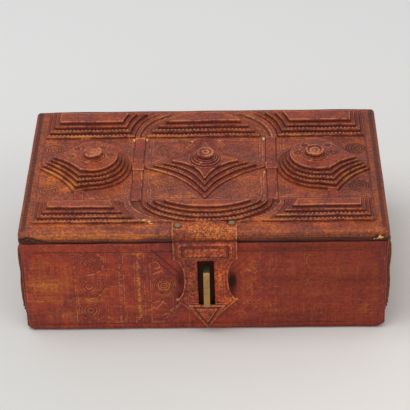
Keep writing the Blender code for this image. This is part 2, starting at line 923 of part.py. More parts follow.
def shrink(points, distance):
    """Move a convex outline's corners towards its middle by a distance at each side."""
    result = []
    count = len(points)
    for index, corner in enumerate(points):
        before = Vector(points[index - 1])
        corner = Vector(corner)
        after = Vector(points[(index + 1) % count])
        into = (before - corner).normalized()
        out = (after - corner).normalized()
        bisector = (into + out).normalized()
        half_angle = into.angle(out) / 2
        result.append(tuple(corner + bisector * distance / sin(half_angle)))
    return result


def make_hasp_relief():
    low = slot_top + frame_slot_gap
    high = flap_top - frame_top_gap
    half = hasp_width / 2 - frame_side_margin
    outer = [(lean(low) - half, low), (lean(low) + half, low),
             (lean(high) + half, high), (lean(high) - half, high)]
    inner = shrink(outer, frame_band)
    back = flap_outer - lay_gap
    finish(flat_piece("hasp_frame", [outer, inner], back, frame_thickness), "hasp_frame",
           "relief", hasp)
    panel = shrink(inner, panel_gap)
    finish(flat_piece("hasp_panel", [panel], back, frame_thickness), "hasp_panel", "relief", hasp)

    top = slot_bottom - tip_frame_drop
    bottom = flap_tip_height + tip_frame_rise
    outer = [(lean(bottom), bottom), (lean(top) + tip_frame_half, top),
             (lean(top) - tip_frame_half, top)]
    inner = shrink(outer, tip_frame_band)
    finish(flat_piece("hasp_tip_frame", [outer, inner], back, frame_thickness),
           "hasp_tip_frame", "relief", hasp)
    panel = shrink(inner, tip_panel_gap)
    finish(flat_piece("hasp_tip_panel", [panel], back, frame_thickness), "hasp_tip_panel",
           "relief", hasp)


def nail_places():
    half = hasp_width / 2
    edge = -half_lid_y
    return (("left", hasp_x - half + left_nail_inset, edge + left_nail_back),
            ("right", hasp_x + half - right_nail_inset, edge + right_nail_back))


def make_leaf(lid_board, lid_cover):
    face = -(half_lid_y + lay_gap)
    path = filleted([(face, fold_height + fold_gap / 2), (face, relief_low),
                     (face + leaf_reach, relief_low)], lid_edge_radius + lay_gap)
    leaf = bent_strip("hasp_leaf", path, hasp_x, hasp_width, leaf_thickness)
    finish(leaf, "hasp_leaf", "worn", lid)
    leaf_high = relief_low + leaf_thickness

    for word, x, y in nail_places():
        head_low = leaf_high + lay_gap
        shank_low = head_low - nail_length
        profile = [(0, head_low + nail_head_height)]
        for index in range(1, bend_points + 1):
            angle = pi / 2 * index / bend_points
            profile.append((nail_head_radius * sin(angle), head_low + nail_head_height * cos(angle)))
        profile += [(nail_shank_radius, head_low), (nail_shank_radius, shank_low), (0, shank_low)]
        name = f"{word}_hasp_nail"
        finish(turned(name, profile, (x, y, 0), bend_points * 3), name, "brass", lid)
        for piece in (leaf, lid_cover, lid_board):
            bpy.ops.mesh.primitive_cylinder_add(
                vertices=bend_points * 3, radius=nail_shank_radius + lay_gap,
                depth=nail_length + overrun,
                location=(x, y, shank_low - lay_gap + (nail_length + overrun) / 2))
            hole = place(bpy.context.object, f"{name}_hole_{piece.name}", cutters)
            cut(piece, hole)


make_boards()
make_case_leather()
make_end_panels()
make_staple()
board, cover = make_lid()
make_cartouches()
make_star_and_bosses()
make_straps()
make_hinge()
make_flap()
make_hasp_relief()
make_leaf(board, cover)
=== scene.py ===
# %% [markdown]
# # A tooled leather box
#
# The box is wood covered in leather. Its lid carries stepped blocks that the leather was pressed
# over, and its hasp is one piece of leather that folds down over a brass staple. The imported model
# gives every solid its place and size. This lesson dresses it: each leather piece is made again as
# a fine sheet with its pressed lines, and gets a finish with dye, grain, dirt and rubbed edges.

from math import asin, atan2, cos, pi, radians, sin

import bpy
import numpy as np
from mathutils import Matrix, Vector


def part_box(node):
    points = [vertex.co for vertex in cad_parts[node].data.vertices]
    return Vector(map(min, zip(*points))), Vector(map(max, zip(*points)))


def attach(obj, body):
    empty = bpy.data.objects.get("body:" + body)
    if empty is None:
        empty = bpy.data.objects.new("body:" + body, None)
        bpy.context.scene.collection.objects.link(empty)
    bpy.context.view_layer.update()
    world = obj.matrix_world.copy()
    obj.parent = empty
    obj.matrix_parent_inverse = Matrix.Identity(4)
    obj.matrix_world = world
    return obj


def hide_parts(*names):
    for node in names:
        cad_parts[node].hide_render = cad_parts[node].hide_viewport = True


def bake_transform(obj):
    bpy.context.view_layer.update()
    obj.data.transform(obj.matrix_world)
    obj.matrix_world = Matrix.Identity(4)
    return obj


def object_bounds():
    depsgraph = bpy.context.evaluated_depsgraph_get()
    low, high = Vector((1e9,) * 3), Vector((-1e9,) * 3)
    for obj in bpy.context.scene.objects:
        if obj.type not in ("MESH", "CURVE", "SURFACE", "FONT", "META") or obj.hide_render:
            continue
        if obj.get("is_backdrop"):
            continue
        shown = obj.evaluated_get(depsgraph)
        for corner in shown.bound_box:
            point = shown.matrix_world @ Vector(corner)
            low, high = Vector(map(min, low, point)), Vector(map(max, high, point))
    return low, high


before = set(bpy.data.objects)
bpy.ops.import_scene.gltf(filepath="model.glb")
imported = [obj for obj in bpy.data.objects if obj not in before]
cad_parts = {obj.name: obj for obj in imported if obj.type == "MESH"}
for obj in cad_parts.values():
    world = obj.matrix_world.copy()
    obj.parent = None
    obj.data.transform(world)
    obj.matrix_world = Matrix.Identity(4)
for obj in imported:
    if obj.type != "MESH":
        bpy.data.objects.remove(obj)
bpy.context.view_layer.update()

# %% [markdown]
# ## Sizes
#
# All lengths are in metres. Marks of the hand tools are listed in millimetres, because a maker
# would read them off a ruler, so `mm` turns them into metres. What the solids already know, such
# as the height of the lid, is read from them.

# %% Sizes read from the solids
mm = 0.001
lid_low, lid_high = (corner.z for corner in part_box("lid_cover"))
half_lid_x, half_lid_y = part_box("lid_cover")[1].xy
half_case_x, half_case_y, case_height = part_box("case_cover")[1]
wall_inside = half_case_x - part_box("case_lining")[1].x
print("lid from", round(lid_low / mm, 1), "to", round(lid_high / mm, 1), "mm")

# %% [markdown]
# ## Camera
#
# The camera stands in front of the box and looks down at 34 degrees, with a long lens. Its place
# was worked out from the edges of the box in the photograph. The picture is square, 410 points
# wide, and a focal length in points turns into a lens by the sensor's 36 mm.

# %% The camera
picture_width = 410
focal_points = 1757.1
camera_place = Vector((0.0266, -1.2533, 0.9070))
pitch, yaw, roll = radians(34.0), radians(-1.229), radians(-1.280)

forward = Vector((sin(yaw) * cos(pitch), cos(yaw) * cos(pitch), -sin(pitch)))
level = Vector((cos(yaw), -sin(yaw), 0))
upward = level.cross(forward)
side_axis = cos(roll) * level + sin(roll) * upward
up_axis = cos(roll) * upward - sin(roll) * level

camera_data = bpy.data.cameras.new("camera")
camera_data.sensor_width = 36
camera_data.lens = focal_points / picture_width * camera_data.sensor_width
camera_data.clip_end = 20
camera = bpy.data.objects.new("camera", camera_data)
bpy.context.scene.collection.objects.link(camera)
turn = Matrix((side_axis, up_axis, -forward)).transposed().to_4x4()
camera.matrix_world = Matrix.Translation(camera_place) @ turn
bpy.context.scene.camera = camera
print("lens", round(camera_data.lens, 1), "mm")

# %% [markdown]
# ## Recipes
#
# A finish is a small network of nodes. `Recipe` is a short way to write one: each method adds a
# node, joins what it is given to it, and returns the socket that comes out. Everything reads the
# Object coordinates, in metres, so a noise of scale 100 has patches about 10 mm wide.

# %% A short way to write a finish
class Recipe:
    def __init__(self, name):
        self.material = bpy.data.materials.new(name)
        self.material.use_nodes = True
        self.tree = self.material.node_tree
        self.shader = self.tree.nodes["Principled BSDF"]
        self.place = self.node("ShaderNodeTexCoord").outputs["Object"]

    def node(self, kind, inputs=(), **settings):
        made = self.tree.nodes.new(kind)
        for key, value in settings.items():
            setattr(made, key, value)
        for key, value in dict(inputs).items():
            self.put(made.inputs[key], value)
        return made

    def put(self, socket, value):
        if isinstance(value, bpy.types.NodeSocket):
            self.tree.links.new(value, socket)
        elif socket.type == "RGBA" and len(value) == 3:
            socket.default_value = (*value, 1)
        else:
            socket.default_value = value

    def set(self, **sockets):
        for key, value in sockets.items():
            self.put(self.shader.inputs[key.replace("_", " ").title()], value)

    def stretched(self, across, deep, high):
        return self.node("ShaderNodeMapping", {"Vector": self.place,
                                               "Scale": (across, deep, high)}).outputs[0]

    def noise(self, scale, detail=4.0, roughness=0.55, vector=None, distortion=0.0):
        return self.node("ShaderNodeTexNoise", {
            "Vector": vector or self.place, "Scale": scale, "Detail": detail,
            "Roughness": roughness, "Distortion": distortion}).outputs["Fac"]

    def cells(self, scale, feature="F1", vector=None):
        return self.node("ShaderNodeTexVoronoi", {"Vector": vector or self.place, "Scale": scale},
                         feature=feature).outputs["Distance"]

    def math(self, operation, *values):
        return self.node("ShaderNodeMath", dict(enumerate(values)), operation=operation).outputs[0]

    def plus(self, first, second):
        return self.math("ADD", first, second)

    def times(self, first, second):
        return self.math("MULTIPLY", first, second)

    def step(self, value, low, high, out_low=0.0, out_high=1.0):
        return self.node("ShaderNodeMapRange", {
            "Value": value, "From Min": low, "From Max": high, "To Min": out_low,
            "To Max": out_high}, interpolation_type="SMOOTHSTEP").outputs[0]

    def mix(self, share, first, second, blend="MIX"):
        return self.node("ShaderNodeMix", {0: share, 6: first, 7: second}, data_type="RGBA",
                         blend_type=blend).outputs[2]

    def painted(self, name):
        return self.node("ShaderNodeAttribute", attribute_name=name).outputs["Fac"]

    def bump(self, height, distance, strength=1.0, under=None):
        made = self.node("ShaderNodeBump", {"Height": height, "Distance": distance,
                                            "Strength": strength})
        if under:
            self.tree.links.new(under, made.inputs["Normal"])
        return made.outputs[0]


# %% [markdown]
# ## Leather
#
# The leather was dyed red-brown. Where it was touched little the dye has gone purple, where it
# was rubbed the orange of the hide shows, and on the sharpest crests it is pale, rubbed and with a
# painted highlight. Dirt sits in the pressed lines, and painted shade darkens the feet of the
# steps, the lid's lower edge and the right side, with painted shadows beside the hasp. Values
# painted on the points of each sheet say where this is, because then the wear, highlight and shade
# follow the
# relief by themselves: the rub and its highlight on crests, the dirt and its shade in hollows,
# `warm` for large rubbed places, `bare` where the skin is torn, and `stamp` with `along` for rows
# of small stamps. The finish mixes its colours by these and by noise at four scales, from a hand's
# breadth down to the grain.

# %% Colours of the leather
purple_dye = (0.190, 0.036, 0.034)
red_dye = (0.262, 0.044, 0.021)
orange_hide = (0.440, 0.112, 0.022)
ochre_hide = (0.600, 0.235, 0.050)
# The pale crest is rubbed hide and a painted highlight; the black is dirt and painted shade.
pale_crest_and_highlight = (0.510, 0.185, 0.080)
black_of_dirt_and_shade = (0.032, 0.006, 0.003)
bare_hide = (0.690, 0.400, 0.125)
worn_thread = (0.560, 0.170, 0.035)
rubbed_dot = (0.640, 0.370, 0.200)
print("a pale crest is", round(sum(pale_crest_and_highlight) / sum(red_dye), 1), "times as bright as the dye")


# %% The leather finish
def leather(name, cool=purple_dye, main=red_dye, rubbed=orange_hide, warmth=0.0, shine=0.44,
            thread=0.0, specular=0.35, grime_and_shade=0.88, stamps=(0.60, 0.50), contrast=1.0):
    recipe = Recipe(name)
    plus, times, step, mix = recipe.plus, recipe.times, recipe.step, recipe.mix
    broad = recipe.noise(13, 3, 0.55, distortion=0.6)
    patch = recipe.noise(75, 5, 0.62, distortion=0.3)
    speck = recipe.noise(430, 4, 0.6)
    fine = recipe.noise(1050, 2, 0.6)
    streak = recipe.noise(1, 5, 0.7, vector=recipe.stretched(26, 60, 620))
    upright = recipe.noise(1, 5, 0.7, vector=recipe.stretched(640, 60, 24))
    cloth = recipe.math("MAXIMUM", streak, upright)
    warm, rub, dirt, bare = (recipe.painted(key) for key in ("warm", "rub", "dirt", "bare"))

    # the dye, purple or red, and the orange of large rubbed places
    colour = mix(step(plus(broad, times(patch, 0.6)), 0.66, 0.94), cool, main)
    blotch, streaky = (0.45, 1.25) if thread else (0.90, 0.70)
    worn = plus(plus(warm, warmth), plus(times(patch, blotch), times(cloth, streaky)))
    colour = mix(step(worn, 0.92, 1.70), colour, rubbed)

    # lighter and darker specks, and fine crossing scratches
    shade = times(step(speck, 0.30, 0.70, 1 - 0.32 * contrast, 1 + 0.36 * contrast),
                  step(fine, 0.30, 0.70, 1 - 0.30 * contrast, 1 + 0.32 * contrast))
    shade = times(shade, step(patch, 0.34, 0.66, 1 - 0.13 * contrast, 1 + 0.14 * contrast))
    grey = recipe.node("ShaderNodeCombineColor", {0: shade, 1: shade, 2: shade}).outputs[0]
    colour = mix(1.0, colour, grey, "MULTIPLY")
    if thread:
        colour = mix(times(step(cloth, 0.58, 0.72), thread), colour, worn_thread)
        colour = mix(times(step(cloth, 0.49, 0.42), thread), colour, black_of_dirt_and_shade)

    # rubbed crests and their painted highlight, broken up by the specks, and ochre where the place
    # around them is warm
    broken = step(plus(times(speck, 0.55), times(patch, 0.45)), 0.40, 0.60)
    crest = mix(step(plus(warm, times(patch, 0.8)), 0.45, 0.95), pale_crest_and_highlight, ochre_hide)
    rub_and_highlight_share = step(times(rub, plus(times(broken, 0.9), 0.35)), 0.25, 1.05)
    colour = mix(times(rub_and_highlight_share, 0.80), colour, crest)

    # stamped dots, then dirt and painted shade, cracks and torn places on top of everything
    dots, dot_height = stamp_row(recipe, *stamps)
    colour = mix(dots["dark"], colour, black_of_dirt_and_shade)
    colour = mix(dots["light"], colour, rubbed_dot)
    dirt_and_shade_share = step(times(dirt, step(patch, 0.2, 0.8, 0.75, 1.25)), 0.10, 1.00)
    colour = mix(times(dirt_and_shade_share, grime_and_shade), colour, black_of_dirt_and_shade)
    crack = step(plus(recipe.cells(210, "DISTANCE_TO_EDGE"), times(patch, 0.06)),
                 0.020, 0.055, 1.0, 0.0)
    colour = mix(times(crack, 0.30), colour, black_of_dirt_and_shade)
    torn = step(times(bare, plus(times(speck, 0.8), 0.6)), 0.35, 0.60)
    colour = mix(torn, colour, bare_hide)

    # the grain's small bumps, and a gloss that dirt and painted shade take away
    normal = recipe.bump(plus(recipe.cells(820), times(speck, 1.2)), 0.00022, 0.7)
    normal = recipe.bump(recipe.math("SUBTRACT", patch, times(crack, 0.25)), 0.0010, 0.55, normal)
    normal = recipe.bump(dot_height, 0.00030, 1.0, normal)
    rough = step(plus(patch, times(dirt, 0.5)), 0.2, 1.1, shine - 0.08, shine + 0.32)
    recipe.set(base_color=colour, roughness=rough, normal=normal)
    recipe.shader.inputs["Specular IOR Level"].default_value = specular
    return recipe.material


# %% Rows of small stamps, counted along a piece
def stamp_row(recipe, lightest, darkest):
    """along counts the stamps of a row, so each whole number is one stamp."""
    stamp = recipe.painted("stamp")
    mask = recipe.step(stamp, 0.20, 0.50)
    facing = recipe.step(stamp, 0.70, 0.95)
    place_in_row = recipe.math("PINGPONG", recipe.painted("along"), 0.5)
    dot = recipe.step(place_in_row, 0.28, 0.38)
    unsteady = recipe.step(recipe.noise(55, 3), 0.38, 0.56, 0.25, 1.0)
    light = recipe.times(recipe.times(dot, facing), recipe.times(unsteady, lightest))
    between = recipe.math("SUBTRACT", 1.0, dot)
    dark = recipe.times(recipe.times(between, mask), darkest)
    return {"light": light, "dark": dark}, recipe.times(dot, mask)


# %% Five leathers
finishes = {
    "case": leather("case_leather_finish", cool=(0.222, 0.031, 0.023), main=(0.318, 0.044, 0.020),
                    warmth=-0.06, thread=0.34, specular=0.20, grime_and_shade=0.97, contrast=0.60),
    "lid": leather("lid_leather_finish", cool=(0.190, 0.040, 0.024), main=(0.268, 0.055, 0.016),
                   warmth=0.0, stamps=(0.0, 0.85), specular=0.30),
    "relief": leather("relief_leather_finish", cool=(0.190, 0.032, 0.019),
                      main=(0.250, 0.043, 0.013), warmth=-0.06, grime_and_shade=0.74, specular=0.28,
                      stamps=(0.72, 0.45)),
    "hasp": leather("hasp_leather_finish", cool=(0.235, 0.035, 0.019), main=(0.325, 0.048, 0.016),
                    warmth=0.04, thread=0.26, specular=0.25, contrast=1.4),
    "plain": leather("plain_leather_finish", cool=(0.085, 0.024, 0.016),
                     main=(0.135, 0.034, 0.017), rubbed=(0.220, 0.070, 0.022), shine=0.60),
}
print("leather finishes:", len(finishes))

# %% [markdown]
# ## Wood, lining and brass
#
# The boards are plain softwood, seen only where the leather stops. The lining is a thin matt skin.
# The staple is old brass, dull in front. The parts that lie behind its front face go from green to
# near black, which is patina and a painted shadow where its legs go into the wall. The nails take
# the same mix and have gone greenish brown all over. Each finish is a mix of two or three colours
# by noise, because nothing here is new or even.

# %% Wood
def wood():
    recipe = Recipe("wood_finish")
    rings = recipe.noise(1, 6, 0.6, vector=recipe.stretched(12, 160, 160), distortion=1.2)
    fibre = recipe.noise(1, 4, 0.6, vector=recipe.stretched(60, 900, 900))
    colour = recipe.mix(recipe.step(rings, 0.35, 0.68), (0.42, 0.26, 0.13), (0.26, 0.14, 0.065))
    colour = recipe.mix(recipe.step(fibre, 0.4, 0.8, 0.0, 0.5), colour, (0.20, 0.10, 0.05))
    recipe.set(base_color=colour, roughness=recipe.step(fibre, 0.3, 0.8, 0.6, 0.8),
               normal=recipe.bump(recipe.plus(rings, fibre), 0.0003, 0.5))
    return recipe.material


# %% Lining
def lining():
    recipe = Recipe("lining_finish")
    patch = recipe.noise(40, 5, 0.6)
    grain = recipe.cells(900)
    colour = recipe.mix(recipe.step(patch, 0.35, 0.7), (0.150, 0.070, 0.042), (0.225, 0.115, 0.066))
    colour = recipe.mix(recipe.step(recipe.noise(16, 3), 0.55, 0.75, 0.0, 0.45), colour,
                        (0.085, 0.040, 0.026))
    recipe.set(base_color=colour, roughness=recipe.step(patch, 0.3, 0.8, 0.72, 0.9),
               normal=recipe.bump(recipe.plus(grain, patch), 0.00025, 0.5))
    return recipe.material


# %% Brass, brown or green
strip_front, strip_back = -0.1046, -0.1034


def brass(name, metal, stain_and_shade, stained, rough):
    recipe = Recipe(name)
    patch = recipe.noise(190, 5, 0.6)
    fine = recipe.noise(900, 3, 0.6)
    depth = recipe.node("ShaderNodeSeparateXYZ", {0: recipe.place}).outputs["Y"]
    # Behind the strip's front face the colour goes to the stain: on the staple a painted shadow
    # with some green patina, and on the nails, which lie wholly behind it, a patina all over.
    behind = recipe.step(depth, strip_front, strip_back)
    share = recipe.plus(recipe.step(patch, 0.45, 0.68, 0.0, stained), recipe.times(behind, 0.95))
    share = recipe.math("MINIMUM", share, 1.0)
    colour = recipe.mix(share, metal, stain_and_shade)
    recipe.set(base_color=colour,
               metallic=recipe.step(share, 0.0, 1.0, 0.75, 0.05),
               roughness=recipe.step(fine, 0.3, 0.7, rough, rough + 0.2),
               normal=recipe.bump(recipe.plus(patch, fine), 0.0003, 0.6))
    return recipe.material


finishes["wood"] = wood()
finishes["lining"] = lining()
# The staple's stain is near black: a painted shadow on its legs, with a little green patina.
finishes["brass"] = brass("brass_finish", (0.44, 0.245, 0.086), (0.030, 0.034, 0.012), 0.30, 0.40)
finishes["green_brass"] = brass("green_brass_finish", (0.34, 0.225, 0.11), (0.190, 0.130, 0.065),
                                0.9, 0.66)

# %% Finishes for the solids that stay
kept = {
    "wood": ["bottom_board", "front_board", "back_board", "left_board", "right_board", "lid_board"],
    "lining": ["case_lining", "lid_lining"],
    "plain": ["base_cover"],
}
for finish, nodes in kept.items():
    for node in nodes:
        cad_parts[node].data.materials.clear()
        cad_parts[node].data.materials.append(finishes[finish])
print("solids kept as they are:", sum(len(nodes) for nodes in kept.values()))

# %% [markdown]
# ## Sheets
#
# Most pieces here are leather sheets. Extrude and inset would give clean steps, but not the many
# small pressed marks of hand tools, so one helper makes all sheets another way. A grid is added as
# Blender's Add menu does, with a point for each place on the sheet, and every point is then laid
# where the piece needs it. Joining the doubles closes a sheet that was rolled up, and filling its
# open ends closes the rest.

# %% A sheet laid on given points
def select_only(piece):
    bpy.ops.object.select_all(action="DESELECT")
    piece.select_set(True)
    bpy.context.view_layer.objects.active = piece


def sheet(name, points, finish, paint=None, close=True, smooth=True):
    """A grid primitive laid on points[row, column], with painted values for each point."""
    rows, columns = points.shape[:2]
    bpy.ops.object.select_all(action="DESELECT")
    bpy.ops.mesh.primitive_grid_add(x_subdivisions=columns - 1, y_subdivisions=rows - 1)
    piece = bpy.context.object
    piece.name = piece.data.name = name
    piece.data.vertices.foreach_set("co", points.astype(np.float32).ravel())
    for key, values in (paint or {}).items():
        layer = piece.data.attributes.new(key, "FLOAT", "POINT")
        layer.data.foreach_set("value", np.broadcast_to(values, (rows, columns))
                               .astype(np.float32).ravel())
    bpy.ops.object.mode_set(mode="EDIT")
    bpy.ops.mesh.select_all(action="SELECT")
    bpy.ops.mesh.remove_doubles(threshold=0.004 * mm)
    if close:
        bpy.ops.mesh.select_all(action="SELECT")
        bpy.ops.mesh.fill_holes(sides=0)
    bpy.ops.mesh.select_all(action="SELECT")
    bpy.ops.mesh.normals_make_consistent(inside=False)
    bpy.ops.object.mode_set(mode="OBJECT")
    if smooth:
        bpy.ops.object.shade_smooth_by_angle(angle=radians(50))
    piece.data.materials.clear()
    piece.data.materials.append(finishes[finish])
    triangles = sum(len(face.vertices) - 2 for face in piece.data.polygons)
    print(f"{name}: {triangles} triangles")
    return piece


def thicken(piece, thickness):
    """Give a sheet its thickness, inwards."""
    select_only(piece)
    solid = piece.modifiers.new("thickness", "SOLIDIFY")
    solid.thickness = thickness
    solid.offset = -1
    bpy.ops.object.modifier_apply(modifier=solid.name)


# %% The unsteady hand: nothing on the real box is quite straight
def by_hand(points, sideways=0.22 * mm, up=0.10 * mm):
    x, y, z = (points[..., axis] / mm for axis in range(3))
    moved = points.copy()
    moved[..., 0] += sideways * (np.sin(x / 19 + y / 11 + 1)
                                 + 0.6 * np.sin(y / 4.3 - x / 37 + z / 9))
    moved[..., 1] += sideways * (np.sin(x / 13 - y / 29 + 2)
                                 + 0.6 * np.sin(x / 5.1 + y / 41 + z / 7))
    moved[..., 2] += up * (np.sin(x / 9.7 + y / 14 + 3) + 0.5 * np.sin(x / 3.7 - y / 4.9))
    return moved


def spots(x, y, places):
    """Soft round or long places, listed in mm as (x, y, half width, half depth, amount)."""
    total = np.zeros_like(x)
    for place_x, place_y, wide, deep, amount in places:
        away = ((x / mm - place_x) / wide) ** 2 + ((y / mm - place_y) / deep) ** 2
        total += amount * np.exp(-away)
    return total


# %% [markdown]
# ## Tool marks
#
# A tooled line is a groove with a small ridge pushed up beside it. The groove holds dirt, and the
# ridge is what the hand rubs first. `Tooling` keeps three values for each point of a sheet: how
# far it is pressed or raised, its dirt, which on the front also carries painted shadow and shade,
# and its rubbing. A line or a ring adds to all three, and a row of dots to the first two, from the
# distance of each point to the mark.

# %% Marks pressed into a sheet
class Tooling:
    def __init__(self, x, y):
        self.x, self.y = x / mm, y / mm
        self.height = np.zeros_like(self.x)
        self.dirt = np.zeros_like(self.x)
        self.rub = np.zeros_like(self.x)

    def press(self, distance, width=0.45, depth=0.22, rub=0.75, dirt=0.6, where=1.0):
        """A groove where distance is 0, and a ridge on the side where it is positive."""
        groove = np.exp(-(distance / width) ** 2) * where
        ridge = np.exp(-((distance - 1.7 * width) / (0.9 * width)) ** 2) * where
        self.height += (0.7 * depth * ridge - depth * groove) * mm
        self.dirt = np.maximum(self.dirt, dirt * groove)
        self.rub = np.maximum(self.rub, rub * ridge)

    def apart(self, start, end):
        """Signed distance to a line between two points."""
        start, end = np.array(start, float), np.array(end, float)
        along = end - start
        from_x, from_y = self.x - start[0], self.y - start[1]
        share = np.clip((from_x * along[0] + from_y * along[1]) / (along @ along), 0, 1)
        side = np.where(from_x * along[1] - from_y * along[0] < 0, -1, 1)
        return side * np.hypot(from_x - share * along[0], from_y - share * along[1])

    def line(self, start, end, **look):
        self.press(self.apart(start, end), **look)

    def stroke(self, start, end, width=0.4, height=0.14, rub=1.0):
        """A short raised stroke, rubbed light."""
        bump = np.exp(-(self.apart(start, end) / width) ** 2)
        self.height += height * bump * mm
        self.rub = np.maximum(self.rub, rub * bump)

    def path(self, corners, **look):
        for start, end in zip(corners, corners[1:]):
            self.line(start, end, **look)

    def ring(self, centre, radius, **look):
        self.press(np.hypot(self.x - centre[0], self.y - centre[1]) - radius, **look)

    def rings(self, centre, radius, shares=(1.0, 0.80, 0.52, 0.30, 0.08), **look):
        for share in shares:
            self.ring(centre, radius * share, **look)

    def dots(self, start, end, pitch, size=0.6, depth=0.25, dirt=0.8):
        start, end = np.array(start, float), np.array(end, float)
        length = np.hypot(*(end - start))
        for index in range(int(length / pitch) + 1):
            place = start + (end - start) * index * pitch / length
            pit = np.exp(-(np.hypot(self.x - place[0], self.y - place[1]) / size) ** 2)
            self.height -= depth * pit * mm
            self.dirt = np.maximum(self.dirt, dirt * pit)


# %% [markdown]
# ## Where the box was rubbed
#
# Large worn places are painted on the lid: along its front edge, at the lower left of the star and
# of the left boss, at the right boss's hollow side, and in some of the flat fields. Those at the
# lower left of the star and of the left boss also carry a painted highlight, where their slopes
# face the light from the upper left. A negative amount keeps a place cool: along the two ends,
# where few hands went, and over the right, where it is painted shade, as the light falls off there.

# %% Rubbed places on the lid, in mm
lid_glow = [
    (-90, -92.6, 55, 1.6, 0.40), (-95, -84.6, 50, 1.4, 0.60), (20, -85, 60, 1.4, 0.40),
    (-60, -88, 60, 2.6, 0.12), (100, -85, 40, 1.2, 0.40), (-52, -87, 8, 3, 0.5),
    (-70, -80, 50, 2.5, 0.50), (60, -79, 45, 2.5, 0.40), (-80, -45, 14, 7, 0.60),
    (-130, -15, 13, 12, 0.85), (-113, -30, 10, 7, 0.75), (-30, -22, 16, 7, 0.50),
    (-42, -10, 12, 6, 0.80), (-14, -38, 10, 6, 0.45), (120, -22, 14, 8, 0.60),
    (132, -10, 8, 8, 0.60), (80, 46, 22, 4, 0.65), (-55, 47, 30, 2.5, 0.45),
    (-110, 49, 22, 2.0, 0.60), (-20, 45, 18, 3, 0.45), (-24, -44, 22, 4, 0.45),
    (30, -20, 12, 8, 0.30), (-75, 82, 25, 6, 0.30), (90, 84, 30, 5, 0.25),
    (65, -44, 10, 6, 0.35), (95, -67, 30, 3, 0.35), (-95, -66, 30, 3, 0.30),
    # The broad negative place over the right is painted shade, where the light falls off.
    (125, 10, 55, 75, -0.22), (-148, 0, 6, 80, -0.20), (148, 0, 6, 80, -0.15),
    (0, -66, 44, 18, 0.12), (-30, -76, 22, 5, 0.25),
]


def glow(points):
    return spots(points[..., 0], points[..., 1], lid_glow)


print("rubbed places on the lid:", len(lid_glow))


# %% [markdown]
# ## The case's leather
#
# Four sheets cover the walls. Each starts under the base, turns up round the lower edge, runs up
# the wall, folds over the rim and stops at the lining, and comes back inside as the leather's own
# thickness. They meet at the rounded corners in a narrow seam, and at the base the corners are worn
# round. The front one is fine enough to take the tooled pattern, and the others are plain.

# %% The profile of a wall: how far in, how high, and how finely
cover_thickness = 1.4 * mm
corner_radius = 3.5 * mm
rim_radius = 1.2 * mm
turned_in = 11.4 * mm
least_radius = 0.2 * mm


def quarter(start_in, start_up, radius, first, last, count):
    angles = np.radians(np.linspace(first, last, count))
    return [(start_in - radius * cos(a), start_up + radius * sin(a)) for a in angles]


def wall_profile(spacing):
    """Pairs of inset and height, and how many of them lie outside."""
    levels = np.arange(corner_radius + spacing, case_height - rim_radius - spacing / 2, spacing)
    outside = [(turned_in, 0), (turned_in - 3 * mm, 0), (5 * mm, 0)]
    outside += quarter(corner_radius, corner_radius, corner_radius, -90, 0, 9)
    outside += [(0, height) for height in levels]
    outside += quarter(rim_radius, case_height - rim_radius, rim_radius, 0, 90, 5)
    outside += [(3 * mm, case_height), (6 * mm, case_height), (wall_inside, case_height)]
    under = case_height - cover_thickness
    inside = [(wall_inside, under), (2 * mm, under), (cover_thickness, under - 0.5 * mm),
              (cover_thickness, case_height / 2), (cover_thickness, corner_radius)]
    inside += [(corner_radius, cover_thickness), (turned_in, cover_thickness), (turned_in, 0)]
    return np.array(outside + inside), len(outside)


# %% The grid of one wall, with half of each rounded corner
def wall_grid(profile, half_long, half_deep, spacing):
    inset, height = profile[:, 0][:, None], profile[:, 1][:, None]
    radius = np.maximum(corner_radius - inset, least_radius)
    along = np.linspace(-1, 1, int(2 * half_long / spacing))[None, :]
    bend = np.radians(np.linspace(45, 4, 6))[None, :]
    reach = half_long - inset - radius
    corner_x = -reach - radius * np.sin(bend)
    corner_y = -(half_deep - inset - radius) - radius * np.cos(bend)
    x = np.hstack([corner_x, reach * along, -corner_x[:, ::-1]])
    flat = np.broadcast_to(-(half_deep - inset), (len(profile), along.shape[1]))
    y = np.hstack([corner_y, flat, corner_y[:, ::-1]])
    return x, y, np.broadcast_to(height, x.shape).copy()


# %% One wall
plain_spacing = 2.2 * mm
corner_lift, corner_draw = 3.6 * mm, 0.010


